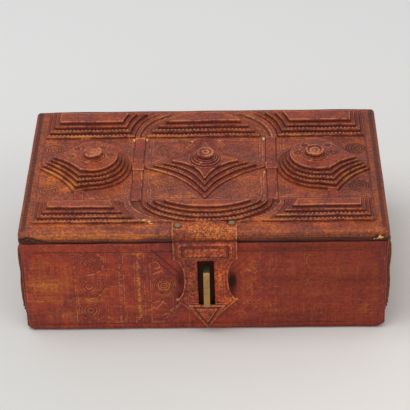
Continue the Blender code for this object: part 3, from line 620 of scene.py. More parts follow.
def wall(name, facing, spacing, tooling=None, rubs=()):
    """facing is the wall's outward direction. The wall is drawn as if it were the front one."""
    half_long, half_deep = ((half_case_x, half_case_y) if facing.y
                            else (half_case_y, half_case_x))
    profile, outside = wall_profile(spacing if tooling else plain_spacing)
    inset, height = profile[:, 0][:, None], profile[:, 1][:, None]
    x, y, z = wall_grid(profile, half_long, half_deep, spacing)

    marks = Tooling(x, z)
    if tooling:
        tooling(marks)
    on_wall = np.exp(-(inset / (1.2 * mm)) ** 2)
    on_wall[outside:] = 0
    from_seam = (half_long - np.abs(x)) / mm
    seam = np.exp(-(np.abs(from_seam - 1.0) / 0.7) ** 2) * on_wall
    beside_seam = np.exp(-((from_seam - 2.6) / 0.9) ** 2) * on_wall
    swell = 0.22 * mm * (np.sin(x / mm / 21 + z / mm / 17) + 0.6 * np.sin(x / mm / 7 - z / mm / 9))
    outward = (marks.height + swell) * on_wall - 0.25 * mm * seam
    y = y - outward * (np.abs(y) > half_deep - corner_radius)

    low_edge = np.exp(-((height / mm - 1.5) / 2.0) ** 2) * on_wall
    rim_edge = np.exp(-((height - case_height + 2.0 * mm) / (0.5 * mm)) ** 2) * on_wall
    shade_under_lid = np.clip((height - case_height + 1.0 * mm) / (0.5 * mm), 0, 1)
    # The top millimetre and the rim, covered by the lid, are darkened fully with painted shade. A
    # light line 2 mm below the rim, on the left only, is worn and a painted highlight where the
    # light falls.
    paint = {
        "dirt": np.maximum(marks.dirt * on_wall, 0.8 * seam) + 0.25 * low_edge + shade_under_lid,
        "rub": np.maximum(marks.rub * on_wall, 0.55 * beside_seam) + 0.55 * rim_edge * (x < 0),
        "warm": spots(x, z, rubs) * on_wall,
    }
    worn_corner = np.clip(1 - from_seam / 9, 0, 1) ** 2 * np.clip(1 - z / (9 * mm), 0, 1)
    z = z + corner_lift * worn_corner
    x = x * (1 - corner_draw * worn_corner)
    spin = Matrix.Rotation(atan2(facing.x, -facing.y), 3, "Z")
    points = np.stack([x, y, z], axis=-1) @ np.array(spin).T
    cover = sheet(name, points, "case", paint)
    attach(cover, "case")
    return cover


# %% [markdown]
# ## The front's pattern
#
# The pattern is clear on the left and nearly worn away on the right: three rings of 20 mm in a
# column, joined by curls, upright lines with a plaited stamp between them, and a ring with slanting
# lines on each side of the hasp. A line near the top and one near the bottom frame it. Each half is
# drawn with the same marks, mirrored, and the right half is drawn fainter.

# %% Curls of the pattern, as the left half has them
curl = [(-112, 55.5), (-106, 56.4), (-101, 57), (-95, 57.2), (-89, 59), (-84.5, 63), (-82.5, 68),
        (-83, 73), (-86, 77)]
low_curl = [(-145, 31), (-112, 31.5), (-104, 32), (-97, 32.8), (-90, 34.5), (-85, 38.5),
            (-82.5, 44), (-83, 50), (-87, 54)]
small_curls = [
    [(-46, 66), (-43, 69), (-39, 70), (-36, 67), (-37, 64), (-41, 63)],
    [(-44, 60), (-41, 58), (-37, 59), (-35, 62)],
    [(-47, 20), (-43, 23), (-40, 22), (-37, 26), (-34, 30)],
    [(-30, 58), (-36, 61), (-42, 58), (-48, 61)],
    [(-47, 31), (-42, 28), (-37, 30), (-32, 27)],
]
straight_part = 4


def mirrored(path, side):
    return [(-side * x, height) for x, height in path]


# %% Rings and curls
ring_column, column_ring = 95, 10.8


def faded(strength):
    """The look of a mark on one half of the front, as strong as that half has kept it."""
    def look(depth=0.24, rub=0.8, dirt=0.45, width=0.42):
        return {"depth": depth * strength, "rub": rub * strength, "dirt": dirt * strength,
                "width": width}
    return look


def rings_and_curls(marks, side, strength, look):
    uneven = (0.6 + 0.4 * np.sin(marks.x / 3.1 + marks.y / 2.3)
              * np.sin(marks.x / 5.7 - marks.y / 4.1))
    for height, inner_rub in ((69, 0.8), (45, 1.3), (21, 1.2)):
        centre = (side * ring_column, height)
        marks.rings(centre, column_ring, (0.13, 0.38), **look(rub=inner_rub, dirt=0.8))
        marks.rings(centre, column_ring, (0.60, 0.80, 1.00), where=uneven,
                    **look(0.22, 1.12, 0.80))
    marks.path(mirrored(curl[straight_part - 1:], side), **look(0.32, 1.45))
    marks.path(mirrored(curl[:straight_part], side), **look(0.20, 0.60))
    marks.path(mirrored(low_curl[straight_part - 1:], side), **look(0.28, 1.4))
    marks.path(mirrored(low_curl[:straight_part], side), **look(0.14, 0.70, 0.25))
    lowest_curl = [(x, height - 24) for x, height in curl[straight_part - 1:]]
    marks.path(mirrored(lowest_curl, side), **look(0.2, 0.7))
    for path in small_curls:
        points = mirrored(path, side)
        for start, end in zip(points, points[1:]):
            marks.stroke(start, end, 0.45, 0.22 * strength, 1.4 * strength)


# %% Upright lines, plaited stamps and level lines
plait_pitch = 1.9


def lines_and_plaits(marks, side, strength, look, chance):
    for along in (107, 81, 71, 67, 58, 50, 45):
        marks.line((side * along, 8), (side * along, 80), **look(0.16, 1.05, 0.40, 0.40))
    plait_rub = 2.6 if side < 0 else 1.2
    for along, share in ((54, 1.0), (69, 0.55), (121, 0.3), (142, 0.3)):
        for height in np.arange(9, 79, plait_pitch):
            a, b, c = chance.uniform(-1.1, 1.1, 3)
            rub = share * strength * chance.uniform(0.5, 1.0) * plait_rub
            marks.stroke((side * along + a, height), (side * along + b, height + c), 0.55,
                         0.2 * strength, rub)
    for height, inner, outer in ((31, 95, 146), (44.5, 46, 82), (79, 46, 68), (12, 40, 84),
                                 (62, 46, 82), (24, 46, 82)):
        marks.line((side * inner, height), (side * outer, height), **look(0.10, 0.95, 0.2))


# %% The ring and the slanting lines beside the hasp
def beside_hasp(marks, side, look):
    marks.rings((side * 33.5, 46), 8.6, (0.20, 0.44), **look(rub=1.2, dirt=0.7))
    marks.rings((side * 33.5, 46), 8.6, (0.82, 1.0), **look(0.20, 0.9, 0.8))
    marks.path([(side * 43, 82), (side * 20, 58)], **look(0.32, 0.3, 0.9, 0.5))
    marks.path([(side * 38, 70), (side * 22, 53)], **look(0.30, 0.3, 0.9, 0.5))
    for shift in range(7):
        marks.line((side * (44 - 2.0 * shift), 8),
                   (side * (16 - 0.4 * shift), 33 + 1.2 * shift), **look(0.18, 0.95, 0.45, 0.38))


# %% The whole front: both halves, the frame lines, scratches, dirt and painted shadows
def front_tooling(marks):
    chance = np.random.default_rng(5)
    for side, strength in ((-1, 1.0), (1, 0.68)):
        look = faded(strength)
        rings_and_curls(marks, side, strength, look)
        lines_and_plaits(marks, side, strength, look, chance)
        beside_hasp(marks, side, look)
    marks.line((-140, 79.5), (128, 79.5), depth=0.20, rub=0.3, dirt=0.85)
    marks.line((-142, 6.8), (118, 6.8), depth=0.18, rub=0.5, dirt=0.75)
    for x, y in ((33, 66), (38, 61), (43, 64), (34, 57), (41, 29), (35, 26), (46, 31), (40, 23)):
        a, b, c, _ = chance.uniform(-3, 3, 4)
        marks.path([(x, y), (x + 3 + a, y + b), (x + 6, y + 2 + c)],
                   width=0.4, depth=0.15, rub=0.9, dirt=0.3)
    marks.stroke((137.5, 14), (137.7, 21), 0.5, 0.15, 1.2)
    marks.stroke((105, 5), (105.2, 15), 0.4, 0.12, 0.9)
    # Painted shadows: near black behind the hasp's slot, and dark beside its waist. Painted shade
    # grows towards the right, where the light falls off, with darker bands across it.
    slot_shadow = (np.exp(-(((marks.x - 1.8) / 10.5) ** 6))
                   * np.exp(-(((marks.y - 51) / 27) ** 6)))
    waist_shadow = spots(marks.x * mm, marks.y * mm, [(-20, 52, 4, 10, 0.7),
                                                      (23.0, 49.5, 4.2, 11, 1.2)])
    bands = spots(marks.x * mm, marks.y * mm, [
        (118, 50, 30, 4.5, 0.13), (66, 52, 22, 3.5, 0.10), (70, 82.5, 80, 3.5, 0.17),
        (60, 14, 34, 4.0, 0.08), (-100, 82, 40, 3.0, 0.20)])
    darker_right = 0.40 * np.clip((marks.x + 5) / 70, 0, 1) + bands
    for dirt in (1.15 * slot_shadow, waist_shadow, darker_right):
        marks.dirt = np.maximum(marks.dirt, dirt)


# %% Rubbed places on the front, in mm
front_rubs = [
    (-130, 60, 16, 24, 0.15), (-130, 46, 20, 8, 0.70), (-126, 31, 24, 4, 0.35),
    (-120, 16, 20, 7, 0.45), (-84, 42, 16, 10, 0.25), (-95, 70, 14, 8, 0.15),
    (-54, 44, 5, 36, 0.35), (-134, 66, 12, 10, 0.25), (-96, 32, 14, 3, 0.45),
    (-30, 36, 10, 6, 0.35), (36, 46, 9, 18, 0.34), (108, 52, 16, 10, 0.22),
    (64, 62, 14, 8, 0.15), (96, 34, 24, 8, 0.15), (132, 22, 5, 6, 0.45), (-70, 12, 30, 5, 0.25),
    (-33, 46, 7, 7, 0.3), (60, 20, 20, 8, 0.2), (-60, 79, 12, 1.5, 0.7), (139, 52, 3, 20, 0.3),
    (56, 45, 4, 34, 0.20), (73, 62, 5, 14, 0.15), (112, 61, 24, 4, 0.28), (-112, 62, 3, 16, 0.2),
    (60, 70, 26, 3, 0.18), (84, 38, 26, 2.5, 0.22), (98, 71, 12, 4, 0.20),
]
print("rubbed places on the front:", len(front_rubs))

# %% The four walls
front_cover = wall("front_cover", Vector((0, -1, 0)), 0.56 * mm, front_tooling, front_rubs)
for name, facing, rubbed_place in (("back_cover", (0, 1, 0), (30, 50, 60, 20, 0.2)),
                                   ("left_cover", (-1, 0, 0), (0, 20, 60, 14, 0.2)),
                                   ("right_cover", (1, 0, 0), (0, 20, 60, 14, 0.2))):
    wall(name, Vector(facing), 2.4 * mm, None, [rubbed_place])
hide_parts("case_cover")

# %% [markdown]
# ## Stepped blocks
#
# The relief on the lid is leather pressed over stepped wooden blocks. A block is a plan that
# shrinks as it rises: `plan(share)` gives its sides, from 0 at the foot to 1 at the top, and past
# 1 it shrinks on towards the middle of the flat top. A section of one step says how the leather
# lies over it: up the riser, dark with painted shade at its foot, over a crest that is rubbed and
# carries a painted highlight, down into a tooled groove with its dirt, along a stamped band and
# into the angle below the next riser, dirty and dark with painted shade. The sheet is wrapped
# round the plan, and its rows climb that section step by step.

# %% Sides of a plan
def straight(start, end):
    start, end = np.array(start, float), np.array(end, float)
    return lambda t: (start[0] + (end[0] - start[0]) * t, start[1] + (end[1] - start[1]) * t)


def bowed(start, end, sag):
    """A side that bends to the left of the line by a distance at its middle."""
    start, end = np.array(start, float), np.array(end, float)
    chord = end - start
    left = np.array((-chord[1], chord[0])) / np.hypot(*chord)

    def side(t):
        bend = sag * 4 * t * (1 - t)
        return (start[0] + chord[0] * t + left[0] * bend, start[1] + chord[1] * t + left[1] * bend)

    return side


def blend(start, end, share):
    return start + (end - start) * share


# %% The section of one step
#                   across, up, rub and highlight, dirt and shade, stamp
step_section = [
    (0.00, -0.10, 0.0, 1.0, 0), (0.01, 0.14, 0.0, 0.85, 0), (0.02, 0.32, 0.0, 0.45, 0),
    (0.03, 0.47, 0.0, 0.25, 0), (0.045, 0.61, 0.2, 0.1, 0), (0.07, 0.76, 0.9, 0.0, 0),
    (0.10, 0.89, 1.6, 0.0, 0), (0.135, 0.98, 0.7, 0.0, 0), (0.18, 1.01, 0.0, 0.0, 0),
    (0.24, 1.00, 0.0, 0.05, 0), (0.31, 0.98, 0.0, 0.15, 0), (0.36, 0.93, 0.0, 0.5, 0),
    (0.40, 0.90, 0.0, 0.6, 0.5), (0.44, 0.94, 0.0, 0.2, 1), (0.54, 0.97, 0.0, 0.0, 1),
    (0.65, 0.98, 0.0, 0.0, 1), (0.76, 0.97, 0.0, 0.2, 0.5), (0.85, 0.92, 0.0, 0.5, 0),
    (0.94, 0.88, 0.0, 0.95, 0),
]
mid_band = 14
end_of_last = 0.33
top_crest_rub_and_highlight, low_crest_rub = 1.9, 1.1
less_stamped = 0.62


def softened(ring, passes):
    for _ in range(passes):
        ring = 0.5 * ring + 0.25 * (np.roll(ring, 1, axis=0) + np.roll(ring, -1, axis=0))
    return ring


# %% A block: a sheet wrapped round a plan that shrinks step by step
def stepped_sheet(plan, steps, height, tread, top_shares, centre=None, spacing=0.6 * mm,
                  stamped=1.0, passes=2, pitch=3.3, lit=(0, 1)):
    """Points and painted values, foot first.

    tread is the share that one step draws in, top_shares says how the flat top closes, and lit
    names the steps whose stamped dots are clear.
    """
    sides = plan(0)
    fine = np.linspace(0, 1, 50)
    counts = []
    for side in sides:
        x, y = side(fine)
        counts.append(max(2, int(np.hypot(np.diff(x), np.diff(y)).sum() / spacing)))

    def ring(share, pull=0.0):
        parts = []
        for side, count in zip(plan(share), counts):
            parts.append(np.stack(side(np.arange(count) / count), axis=-1))
        points = softened(np.vstack(parts), passes)
        if pull:
            points = points * (1 - pull) + np.array(centre) * pull
        return np.vstack([points, points[:1]])

    rise = height / steps
    rows = []
    for step in range(steps):
        last = step == steps - 1
        for across, up, rub, dirt, stamp in step_section:
            if last and across > end_of_last:
                break
            sunk = 0.15 * mm if step == 0 and across == 0 else 0
            # The top step's crest is rubbed and carries a painted highlight all round, on its back
            # edges too.
            if last and 0.06 < across < 0.25:
                rub = max(rub, top_crest_rub_and_highlight if steps > 1 else low_crest_rub)
            # The painted shade at the foot of the lowest step is half as dark.
            if step == 0 and across < 0.04:
                dirt *= 0.5
            stamp *= stamped * (1 if step in lit else less_stamped)
            lowest = float(step == 0 and 0.03 < across < 0.5)
            rows.append(((step + across) * tread, 0.0, (step + up) * rise - sunk, rub, dirt, stamp,
                         lowest))
    for share, pull in top_shares:
        rows.append((share, pull, height * 1.005, 0.0, 0.0, 0, 0))

    points, values = [], []
    for share, pull, up, *painted in rows:
        flat = ring(share, pull)
        points.append(np.column_stack([flat, np.full(len(flat), up)]))
        values.append(painted)
    points = np.array(points)
    values = np.array(values)[:, :, None]
    lengths = np.hypot(*np.moveaxis(np.diff(points[..., :2], axis=1), -1, 0))
    along = np.hstack([np.zeros((len(rows), 1)), np.cumsum(lengths, axis=1)]) / mm / pitch
    first_of_step = np.arange(len(rows)) // len(step_section) * len(step_section)
    along = along[np.minimum(first_of_step + mid_band, len(rows) - 1)]
    run_x, run_y = np.moveaxis(np.gradient(points[..., :2], axis=1), -1, 0)
    across_view = np.abs(run_x) > 1.2 * np.abs(run_y)
    paint = {"rub": values[:, 0], "dirt": values[:, 1], "lowest": values[:, 3], "along": along,
             "stamp": values[:, 2] * np.where(across_view, 1, less_stamped)}
    return points, paint


# %% A piece of relief, laid on the lid
def lid_relief(name, node, points, paint, rub=1.0, dirt=1.0, rings=(), bare=(), pale=()):
    """Lay a block's points on the lid and let it ride with it.

    rings are stamped into the block's top, bare places are rubbed light all over, and in pale
    places the crest of the lowest step has lost its skin.
    """
    marks = Tooling(points[..., 0], points[..., 1])
    for x, y, radius in rings:
        marks.rings((x, y), radius, (1.0, 0.6), depth=0.30, rub=1.15, dirt=0.7, width=0.55)
    on_top = points[..., 2] > points[..., 2].max() - 0.6 * mm
    points[..., 2] += lid_high + marks.height * on_top
    points = by_hand(points)
    across, deep = points[..., 0], points[..., 1]
    warm = glow(points)
    worn = np.clip(warm, 0, 1)
    lowest = paint.get("lowest", 0)
    uneven = 0.5 + 0.5 * np.sin(across / mm / 8.3 + deep / mm / 6.1)
    dark_rings = [(x, y, 0.8 * radius, 0.8 * radius, 0.22) for x, y, radius in rings]
    # The lowest crest is rubbed ochre where the place is warm. Painted shade grows towards the
    # right, where the light falls off.
    painted = {
        "rub": (marks.rub * on_top + 0.4 * worn * (1 - paint["dirt"])
                + paint["rub"] * rub * (0.55 + 1.1 * worn + 0.3 * uneven)
                + 1.6 * lowest * worn + 2 * spots(across, deep, bare)),
        "dirt": (paint["dirt"] * dirt + 0.14 * np.clip(across / mm / 70, 0, 1)
                 + on_top * (marks.dirt + spots(across, deep, dark_rings))),
        "stamp": np.broadcast_to(paint["stamp"], across.shape),
        "along": paint["along"],
        "warm": warm,
        "bare": lowest * np.clip(paint["rub"], 0, 1) * spots(across, deep, pale),
    }
    block = sheet(name, points, "relief", painted)
    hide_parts(node)
    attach(block, "lid")
    return block


# %% [markdown]
# ## Cartouches
#
# Two rows of three run along the front and the back of the lid. The middle one of each row is
# half an oval. The corner ones are oblongs whose inner end is hollowed to follow that oval, with
# a channel between them.

# %% Sizes of the two rows, as in the solids
cartouche_steps = 4
cartouche_edge = 139.0 * mm
channel = 13.0 * mm
rows_of_cartouches = {
    "front": {"row": -1, "near": 51.0 * mm, "far": 82.0 * mm, "inset": 11.0 * mm,
              "height": 9.7 * mm, "oval_x": 3.0 * mm, "hollow_x": 0.0, "oval_half": 54.0 * mm},
    "back": {"row": 1, "near": 48.0 * mm, "far": 86.5 * mm, "inset": 12.0 * mm,
             "height": 10.8 * mm, "oval_x": -1.5 * mm, "hollow_x": 1.0 * mm,
             "oval_half": 49.0 * mm},
}


def corner_plan(side, row, near, far, inset, hollow_x, oval_half, **_):
    def plan(share):
        drawn = inset * share
        low, high, edge = near + drawn, far - drawn, cartouche_edge - drawn
        wide, deep = oval_half + channel + drawn, far - near + channel + drawn

        def reach(level):
            return hollow_x + side * wide * np.sqrt(1 - ((level - near) / deep) ** 2)

        def hollow(t):
            level = low + (high - low) * t
            return reach(level), row * level

        return [hollow, straight((reach(high), row * high), (side * edge, row * high)),
                straight((side * edge, row * high), (side * edge, row * low)),
                straight((side * edge, row * low), (reach(low), row * low))]

    return plan


def oval_plan(row, near, far, inset, oval_x, oval_half, **_):
    def plan(share):
        drawn = inset * share
        wide, deep = oval_half - drawn, far - near - drawn
        first = asin(drawn / deep)

        def arc(t):
            angle = blend(first, pi - first, t)
            return oval_x + wide * np.cos(angle), row * (near + deep * np.sin(angle))

        ends = [tuple(float(value) for value in arc(t)) for t in (1.0, 0.0)]
        return [arc, straight(*ends)]

    return plan


# %% The six cartouches
for word, sizes in rows_of_cartouches.items():
    deepest = (sizes["far"] - sizes["near"]) / 2 / sizes["inset"]
    shares = [(blend(1.14, deepest, t), 0.0) for t in np.linspace(0, 0.97, 12)]
    for place, plan in (("left", corner_plan(-1, **sizes)), ("centre", oval_plan(**sizes)),
                        ("right", corner_plan(1, **sizes))):
        points, paint = stepped_sheet(plan, cartouche_steps, sizes["height"],
                                      1 / (cartouche_steps - 1), shares)
        node = f"{word}_{place}_cartouche"
        lid_relief(node.replace("cartouche", "block"), node, points, paint)

# %% [markdown]
# ## The star
#
# The star in the middle has four hollow sides between long tips. Its steps are wide at the tips
# and narrow at the hollows, because the top is a squarer star than the foot.

# %% The star
star_steps, star_height = 4, 8.3 * mm
star_half_x, star_half_y, star_top_half = 50.8 * mm, 47.2 * mm, 28.0 * mm
star_hollow, star_top_hollow = 7.0 * mm, 5.8 * mm
star_middle = (0.8 * mm, 0.0)
blunt_tip = 0.8 * mm


def star_plan(share):
    half_x = blend(star_half_x, star_top_half, share)
    half_y = blend(star_half_y, star_top_half, share)
    sag, blunt = blend(star_hollow, star_top_hollow, share), blunt_tip
    tips = [((half_x, -blunt), (half_x, blunt)), ((blunt, half_y), (-blunt, half_y)),
            ((-half_x, blunt), (-half_x, -blunt)), ((-blunt, -half_y), (blunt, -half_y))]
    tips = [[np.array(corner) + star_middle for corner in tip] for tip in tips]
    sides = []
    for tip, following in zip(tips, tips[1:] + tips[:1]):
        sides += [straight(*tip), bowed(tip[1], following[0], sag)]
    return sides


towards_middle = [(1.13, pull) for pull in np.linspace(0.03, 1.0, 32)]
points, paint = stepped_sheet(star_plan, star_steps, star_height, 1 / (star_steps - 1),
                              towards_middle, star_middle, pitch=2.7, lit=(1,))
paint["stamp"] *= np.abs(points[..., 0] - star_middle[0]) > 4 * mm
lid_relief("star_block", "centre_star", points, paint, rub=1.1,
           pale=[(-42, -5, 8, 5, 0.6), (-30, -13, 8, 6, 0.5)])

# %% [markdown]
# ## The bosses
#
# A boss is round towards the star and runs out to a point, with two hollow sides, like a drop.
# The left and the right one are not quite alike: the right one's point leans to the front.

# %% The two bosses
boss_steps, boss_height = 5, 13.8 * mm
boss_radius, boss_top_radius = 33.4 * mm, 22.5 * mm
boss_half, boss_top_half = 37.5 * mm, 21.5 * mm
boss_point, boss_top_point = 44.5 * mm, 31.5 * mm
boss_hollow, boss_top_hollow = 3.5 * mm, 2.0 * mm
bosses = {
    "left": {"side": -1, "x": -95.5 * mm, "shoulder": (12.5 * mm, 8.0 * mm), "point_y": 0.0,
             "rings": ((-113, -1, 3.4), (-79.5, 0, 3.2), (-108, 10, 2.6), (-86, 12, 3)),
             "pale": ((-133, -9, 8, 7, 0.9), (-124, -19, 7, 6, 0.6))},
    "right": {"side": 1, "x": 95.0 * mm, "shoulder": (16.0 * mm, 10.5 * mm), "point_y": -4.5 * mm,
              "rings": ((79.5, 0.5, 3.6), (109, 0.5, 3.6), (104.5, 12, 2.6), (85, 12, 2.6)),
              "pale": ()},
}


def boss_plan(side, x, shoulder, point_y, **_):
    def plan(share):
        radius = blend(boss_radius, boss_top_radius, share)
        point = blend(boss_point, boss_top_point, share)
        deep, along = blend(boss_half, boss_top_half, share), blend(*shoulder, share)
        sag, blunt = blend(boss_hollow, boss_top_hollow, share), blunt_tip

        def place(u, v):
            return x + side * u, v

        def arc(t):
            angle = blend(pi / 2, 3 * pi / 2, t)
            return place(radius * np.cos(angle), radius * np.sin(angle))

        corners = [place(0, -radius), place(along, -deep), place(point, point_y - blunt),
                   place(point, point_y + blunt), place(along, deep), place(0, radius)]
        return [arc, straight(corners[0], corners[1]), bowed(corners[1], corners[2], sag * side),
                straight(corners[2], corners[3]), bowed(corners[3], corners[4], sag * side),
                straight(corners[4], corners[5])]

    return plan


for word, sizes in bosses.items():
    middle = (sizes["x"] + sizes["side"] * 2 * mm, 0.0)
    points, paint = stepped_sheet(boss_plan(**sizes), boss_steps, boss_height,
                                  1 / (boss_steps - 1), towards_middle, middle, pitch=2.9,
                                  lit=(1, 2))
    lid_relief(f"{word}_boss_block", f"{word}_boss", points, paint, rings=sizes["rings"],
               pale=sizes["pale"])

# %% [markdown]
# ## Drums and buttons
#
# On the star and on each boss sits a low drum with a button. They are round, so their sheets are
# wrapped round an axis: a profile of radius and height, turned once. The left boss's button is
# worn flat and tilts to the left and the front, and the right one has lost the leather in its
# middle.

# %% Round pieces
def turned_sheet(profile, centre, low, count=64):
    """profile holds (radius, height, rub and highlight, dirt and shade) in mm, from the outer foot
    to the middle.
    """
    angles = np.linspace(0, 2 * pi, count + 1)
    radius, up, rub, dirt = (np.array(column)[:, None] for column in zip(*profile))
    x = centre[0] + radius * mm * np.cos(angles)
    y = centre[1] + radius * mm * np.sin(angles)
    z = np.broadcast_to(low + up * mm, x.shape)
    points = np.stack([x, y, z], axis=-1)
    flat = np.zeros_like(x)
    return points, {"rub": rub + flat, "dirt": dirt + flat, "stamp": flat, "along": flat}


def tilted(points, centre, lean_x, lean_y):
    points[..., 2] += (points[..., 0] - centre[0]) * lean_x + (points[..., 1] - centre[1]) * lean_y
    return points


def scaled(profile, radius, height):
    return [(share * radius, up * height, rub, dirt) for share, up, rub, dirt in profile]


# %% Profiles: shares of the radius and of the height, rub and highlight, dirt and shade
drum_profile = [
    (1.0, 0.0, 0, 1.0), (1.0, 0.16, 0.1, 0.3), (0.97, 0.26, 1.0, 0), (0.91, 0.28, 0.4, 0),
    (0.87, 0.22, 0, 0.8), (0.85, 0.24, 0, 0.8), (0.84, 0.44, 0.2, 0), (0.81, 0.53, 1.0, 0),
    (0.76, 0.54, 0.3, 0), (0.73, 0.48, 0, 0.8), (0.71, 0.50, 0, 0.8), (0.70, 0.72, 0.2, 0),
    (0.67, 0.81, 1.0, 0), (0.63, 0.82, 0.3, 0), (0.60, 0.76, 0, 0.8), (0.58, 0.78, 0, 0.8),
    (0.57, 0.93, 0.2, 0), (0.54, 1.0, 1.0, 0), (0.50, 1.0, 0.3, 0), (0.46, 0.96, 0, 0.7),
    (0.2, 0.95, 0, 0.4), (0.0, 0.95, 0, 0.2)]
button_profile = [
    (1.0, 0.0, 0, 1.0), (1.02, 0.5, 0.1, 0.3), (0.98, 0.78, 0.5, 0), (0.90, 0.95, 1.0, 0),
    (0.78, 1.0, 0.8, 0), (0.66, 0.94, 0.2, 0.4), (0.58, 0.86, 0, 0.7), (0.50, 0.90, 0.4, 0.2),
    (0.38, 1.0, 0.9, 0), (0.22, 1.0, 0.6, 0), (0.12, 0.94, 0.1, 0.5), (0.0, 0.92, 0, 0.6)]
hollow_profile = [
    (1.0, 0.0, 0, 1.0), (1.02, 0.45, 0.1, 0.2), (0.97, 0.75, 0.8, 0), (0.90, 0.92, 1.3, 0),
    (0.80, 0.95, 0.9, 0), (0.72, 0.84, 0.2, 0.4), (0.66, 0.66, 0, 0.9), (0.56, 0.62, 1.2, 0.2),
    (0.40, 0.70, 1.4, 0.0), (0.28, 0.60, 0.4, 0.6), (0.12, 0.66, 1.2, 0.1), (0.0, 0.66, 1.0, 0.1)]
worn_profile = [
    (1.0, 0.0, 0, 1.0), (1.03, 0.5, 0.1, 0.3), (1.0, 0.80, 0.5, 0), (0.90, 0.96, 1.0, 0),
    (0.78, 0.98, 0.5, 0), (0.60, 0.94, 0.4, 0.1), (0.35, 0.95, 0.6, 0), (0.0, 0.92, 0.5, 0.1)]
print("points in the profiles:",
      [len(profile) for profile in (drum_profile, button_profile, hollow_profile, worn_profile)])

# %% Three drums and their buttons
drum_sunk = 0.2
button_seat = 0.93
#   word, centre, foot, radius and height of drum and of button, the button's profile and lean
buttons = (
    ("star", (0.8, 0.0), 8.1, (14.6, 4.5), (7.4, 4.1), button_profile, (0.0, 0.03)),
    ("left_boss", (-94.2, -1.4), 13.6, (11.6, 3.0), (8.0, 2.9), worn_profile, (0.05, 0.03)),
    ("right_boss", (93.2, -2.6), 13.6, (11.4, 3.0), (7.8, 3.4), hollow_profile, (0.02, 0.02)),
)
for word, centre, low, drum, button, profile, lean in buttons:
    fleck = [(centre[0] - 4.5, centre[1] - 9.6, 1.7, 0.9, 1.2)]
    centre = (centre[0] * mm, centre[1] * mm)
    points, paint = turned_sheet(scaled(drum_profile, *drum), centre, (low - drum_sunk) * mm)
    lid_relief(f"{word}_drum_leather", f"{word}_drum", points, paint, rub=1.1, bare=fleck)
    button_low = (low + drum[1] * button_seat) * mm
    points, paint = turned_sheet(scaled(profile, *button), centre, button_low)
    lid_relief(f"{word}_button_leather", f"{word}_knob", tilted(points, centre, *lean), paint,
               rub=1.5, bare=fleck)

# %% [markdown]
# ## Straps
#
# Flat straps of leather run from row to row beside the star, and short ones in front of and
# behind each boss. Each is a sheet of one step: a rounded edge, a tooled line inside it and a flat
# middle. A bridge crosses each long strap at the star's tip.

# %% Straps and bridges
def four_sided(corners, draw):
    """The plan of a flat piece with four corners, each side drawn in by the same distance."""
    corners = [np.array(corner, float) for corner in corners]
    middle = sum(corners) / 4

    def plan(share):
        drawn = []
        for index, corner in enumerate(corners):
            before, after = corners[index - 1] - corner, corners[(index + 1) % 4] - corner
            before, after = before / np.hypot(*before), after / np.hypot(*after)
            half = np.arccos(np.clip(before @ after, -1, 1)) / 2
            inward = (before + after) / np.hypot(*(before + after))
            drawn.append(corner + inward * draw * share / np.sin(half))
        return [straight(a, b) for a, b in zip(drawn, drawn[1:] + drawn[:1])]

    return plan, tuple(middle)


def flat_strap(name, node, corners, height, low=0.0, draw=4.2 * mm, rub=0.6):
    plan, middle = four_sided(corners, draw)
    top = [(0.62, 0.0), (0.85, 0.0), (0.97, 0.0)]
    points, paint = stepped_sheet(plan, 1, height, 1.0, top, middle, 0.7 * mm, 0, 1)
    points[..., 2] += low
    return lid_relief(name, node, points, paint, rub=rub, dirt=1.0)


# %% Long straps with their bridges
strap_front, strap_back = -50.6 * mm, 47.6 * mm
half_strap, half_bridge = 4.3 * mm, 5.2 * mm
for word, x in (("left", -56.1 * mm), ("right", 56.8 * mm)):
    left, right = x - half_strap, x + half_strap
    flat_strap(f"{word}_strap_leather", f"{word}_strap",
               [(left, strap_front), (right, strap_front), (right, strap_back),
                (left, strap_back)], 1.4 * mm)
    left, right = x - half_bridge, x + half_bridge
    flat_strap(f"{word}_bridge_leather", f"{word}_bridge",
               [(left, -half_bridge), (right, -half_bridge), (right, half_bridge),
                (left, half_bridge)], 1.6 * mm, 0.9 * mm, 4.9 * mm, 0.9)

# %% Short straps, which run under the bosses' straight sides
short_strap = 8.5 * mm
tucked_in = 0.4 * mm
for word, sizes in bosses.items():
    side, middle, outer = sizes["side"], sizes["x"], sizes["shoulder"][0]
    slope = (boss_half - boss_radius) / outer
    inner = outer - short_strap
    for end, row, edge in (("front", -1, -strap_front), ("back", 1, strap_back)):
        corners = [(middle + side * u, row * (boss_radius + slope * u - tucked_in))
                   for u in (inner, outer)]
        corners += [(middle + side * u, row * edge) for u in (outer, inner)]
        name = f"{word}_boss_{end}_strap"
        flat_strap(f"{name}_leather", name, corners, 1.3 * mm)

# %% [markdown]
# ## The lid's leather
#
# One skin covers the lid: flat on top, round at the edges and corners, and turned in underneath.
# It is a grid whose outer rows are bent down round the edge. At a corner the same rows fan out
# round it, so that the skin has no gap and no fold there.

# %% The way from the flat top round the lid's edge
lid_corner = 3.6 * mm
edge_radius = 3.0 * mm
lower_radius = 1.5 * mm
border = 14 * mm


def edge_way(length):
    """For a length past the flat top: how far out, how far down, and how far in underneath."""
    first = lid_corner - edge_radius
    arc = edge_radius * pi / 2
    side = lid_high - lid_low - edge_radius - lower_radius
    low_arc = lower_radius * pi / 2
    spans = np.cumsum([first, arc, side, low_arc])
    out, down = np.minimum(length, first), np.zeros_like(length)
    angle = np.clip(length - spans[0], 0, arc) / edge_radius
    out = out + edge_radius * np.sin(angle)
    down = down + edge_radius * (1 - np.cos(angle))
    down = down + np.clip(length - spans[1], 0, side)
    angle = np.clip(length - spans[2], 0, low_arc) / lower_radius
    out = out - lower_radius * (1 - np.cos(angle))
    down = down + lower_radius * np.sin(angle)
    under = np.clip(length - spans[3], 0, None)
    inward = np.minimum(out, under)
    return out - inward, down, under - inward


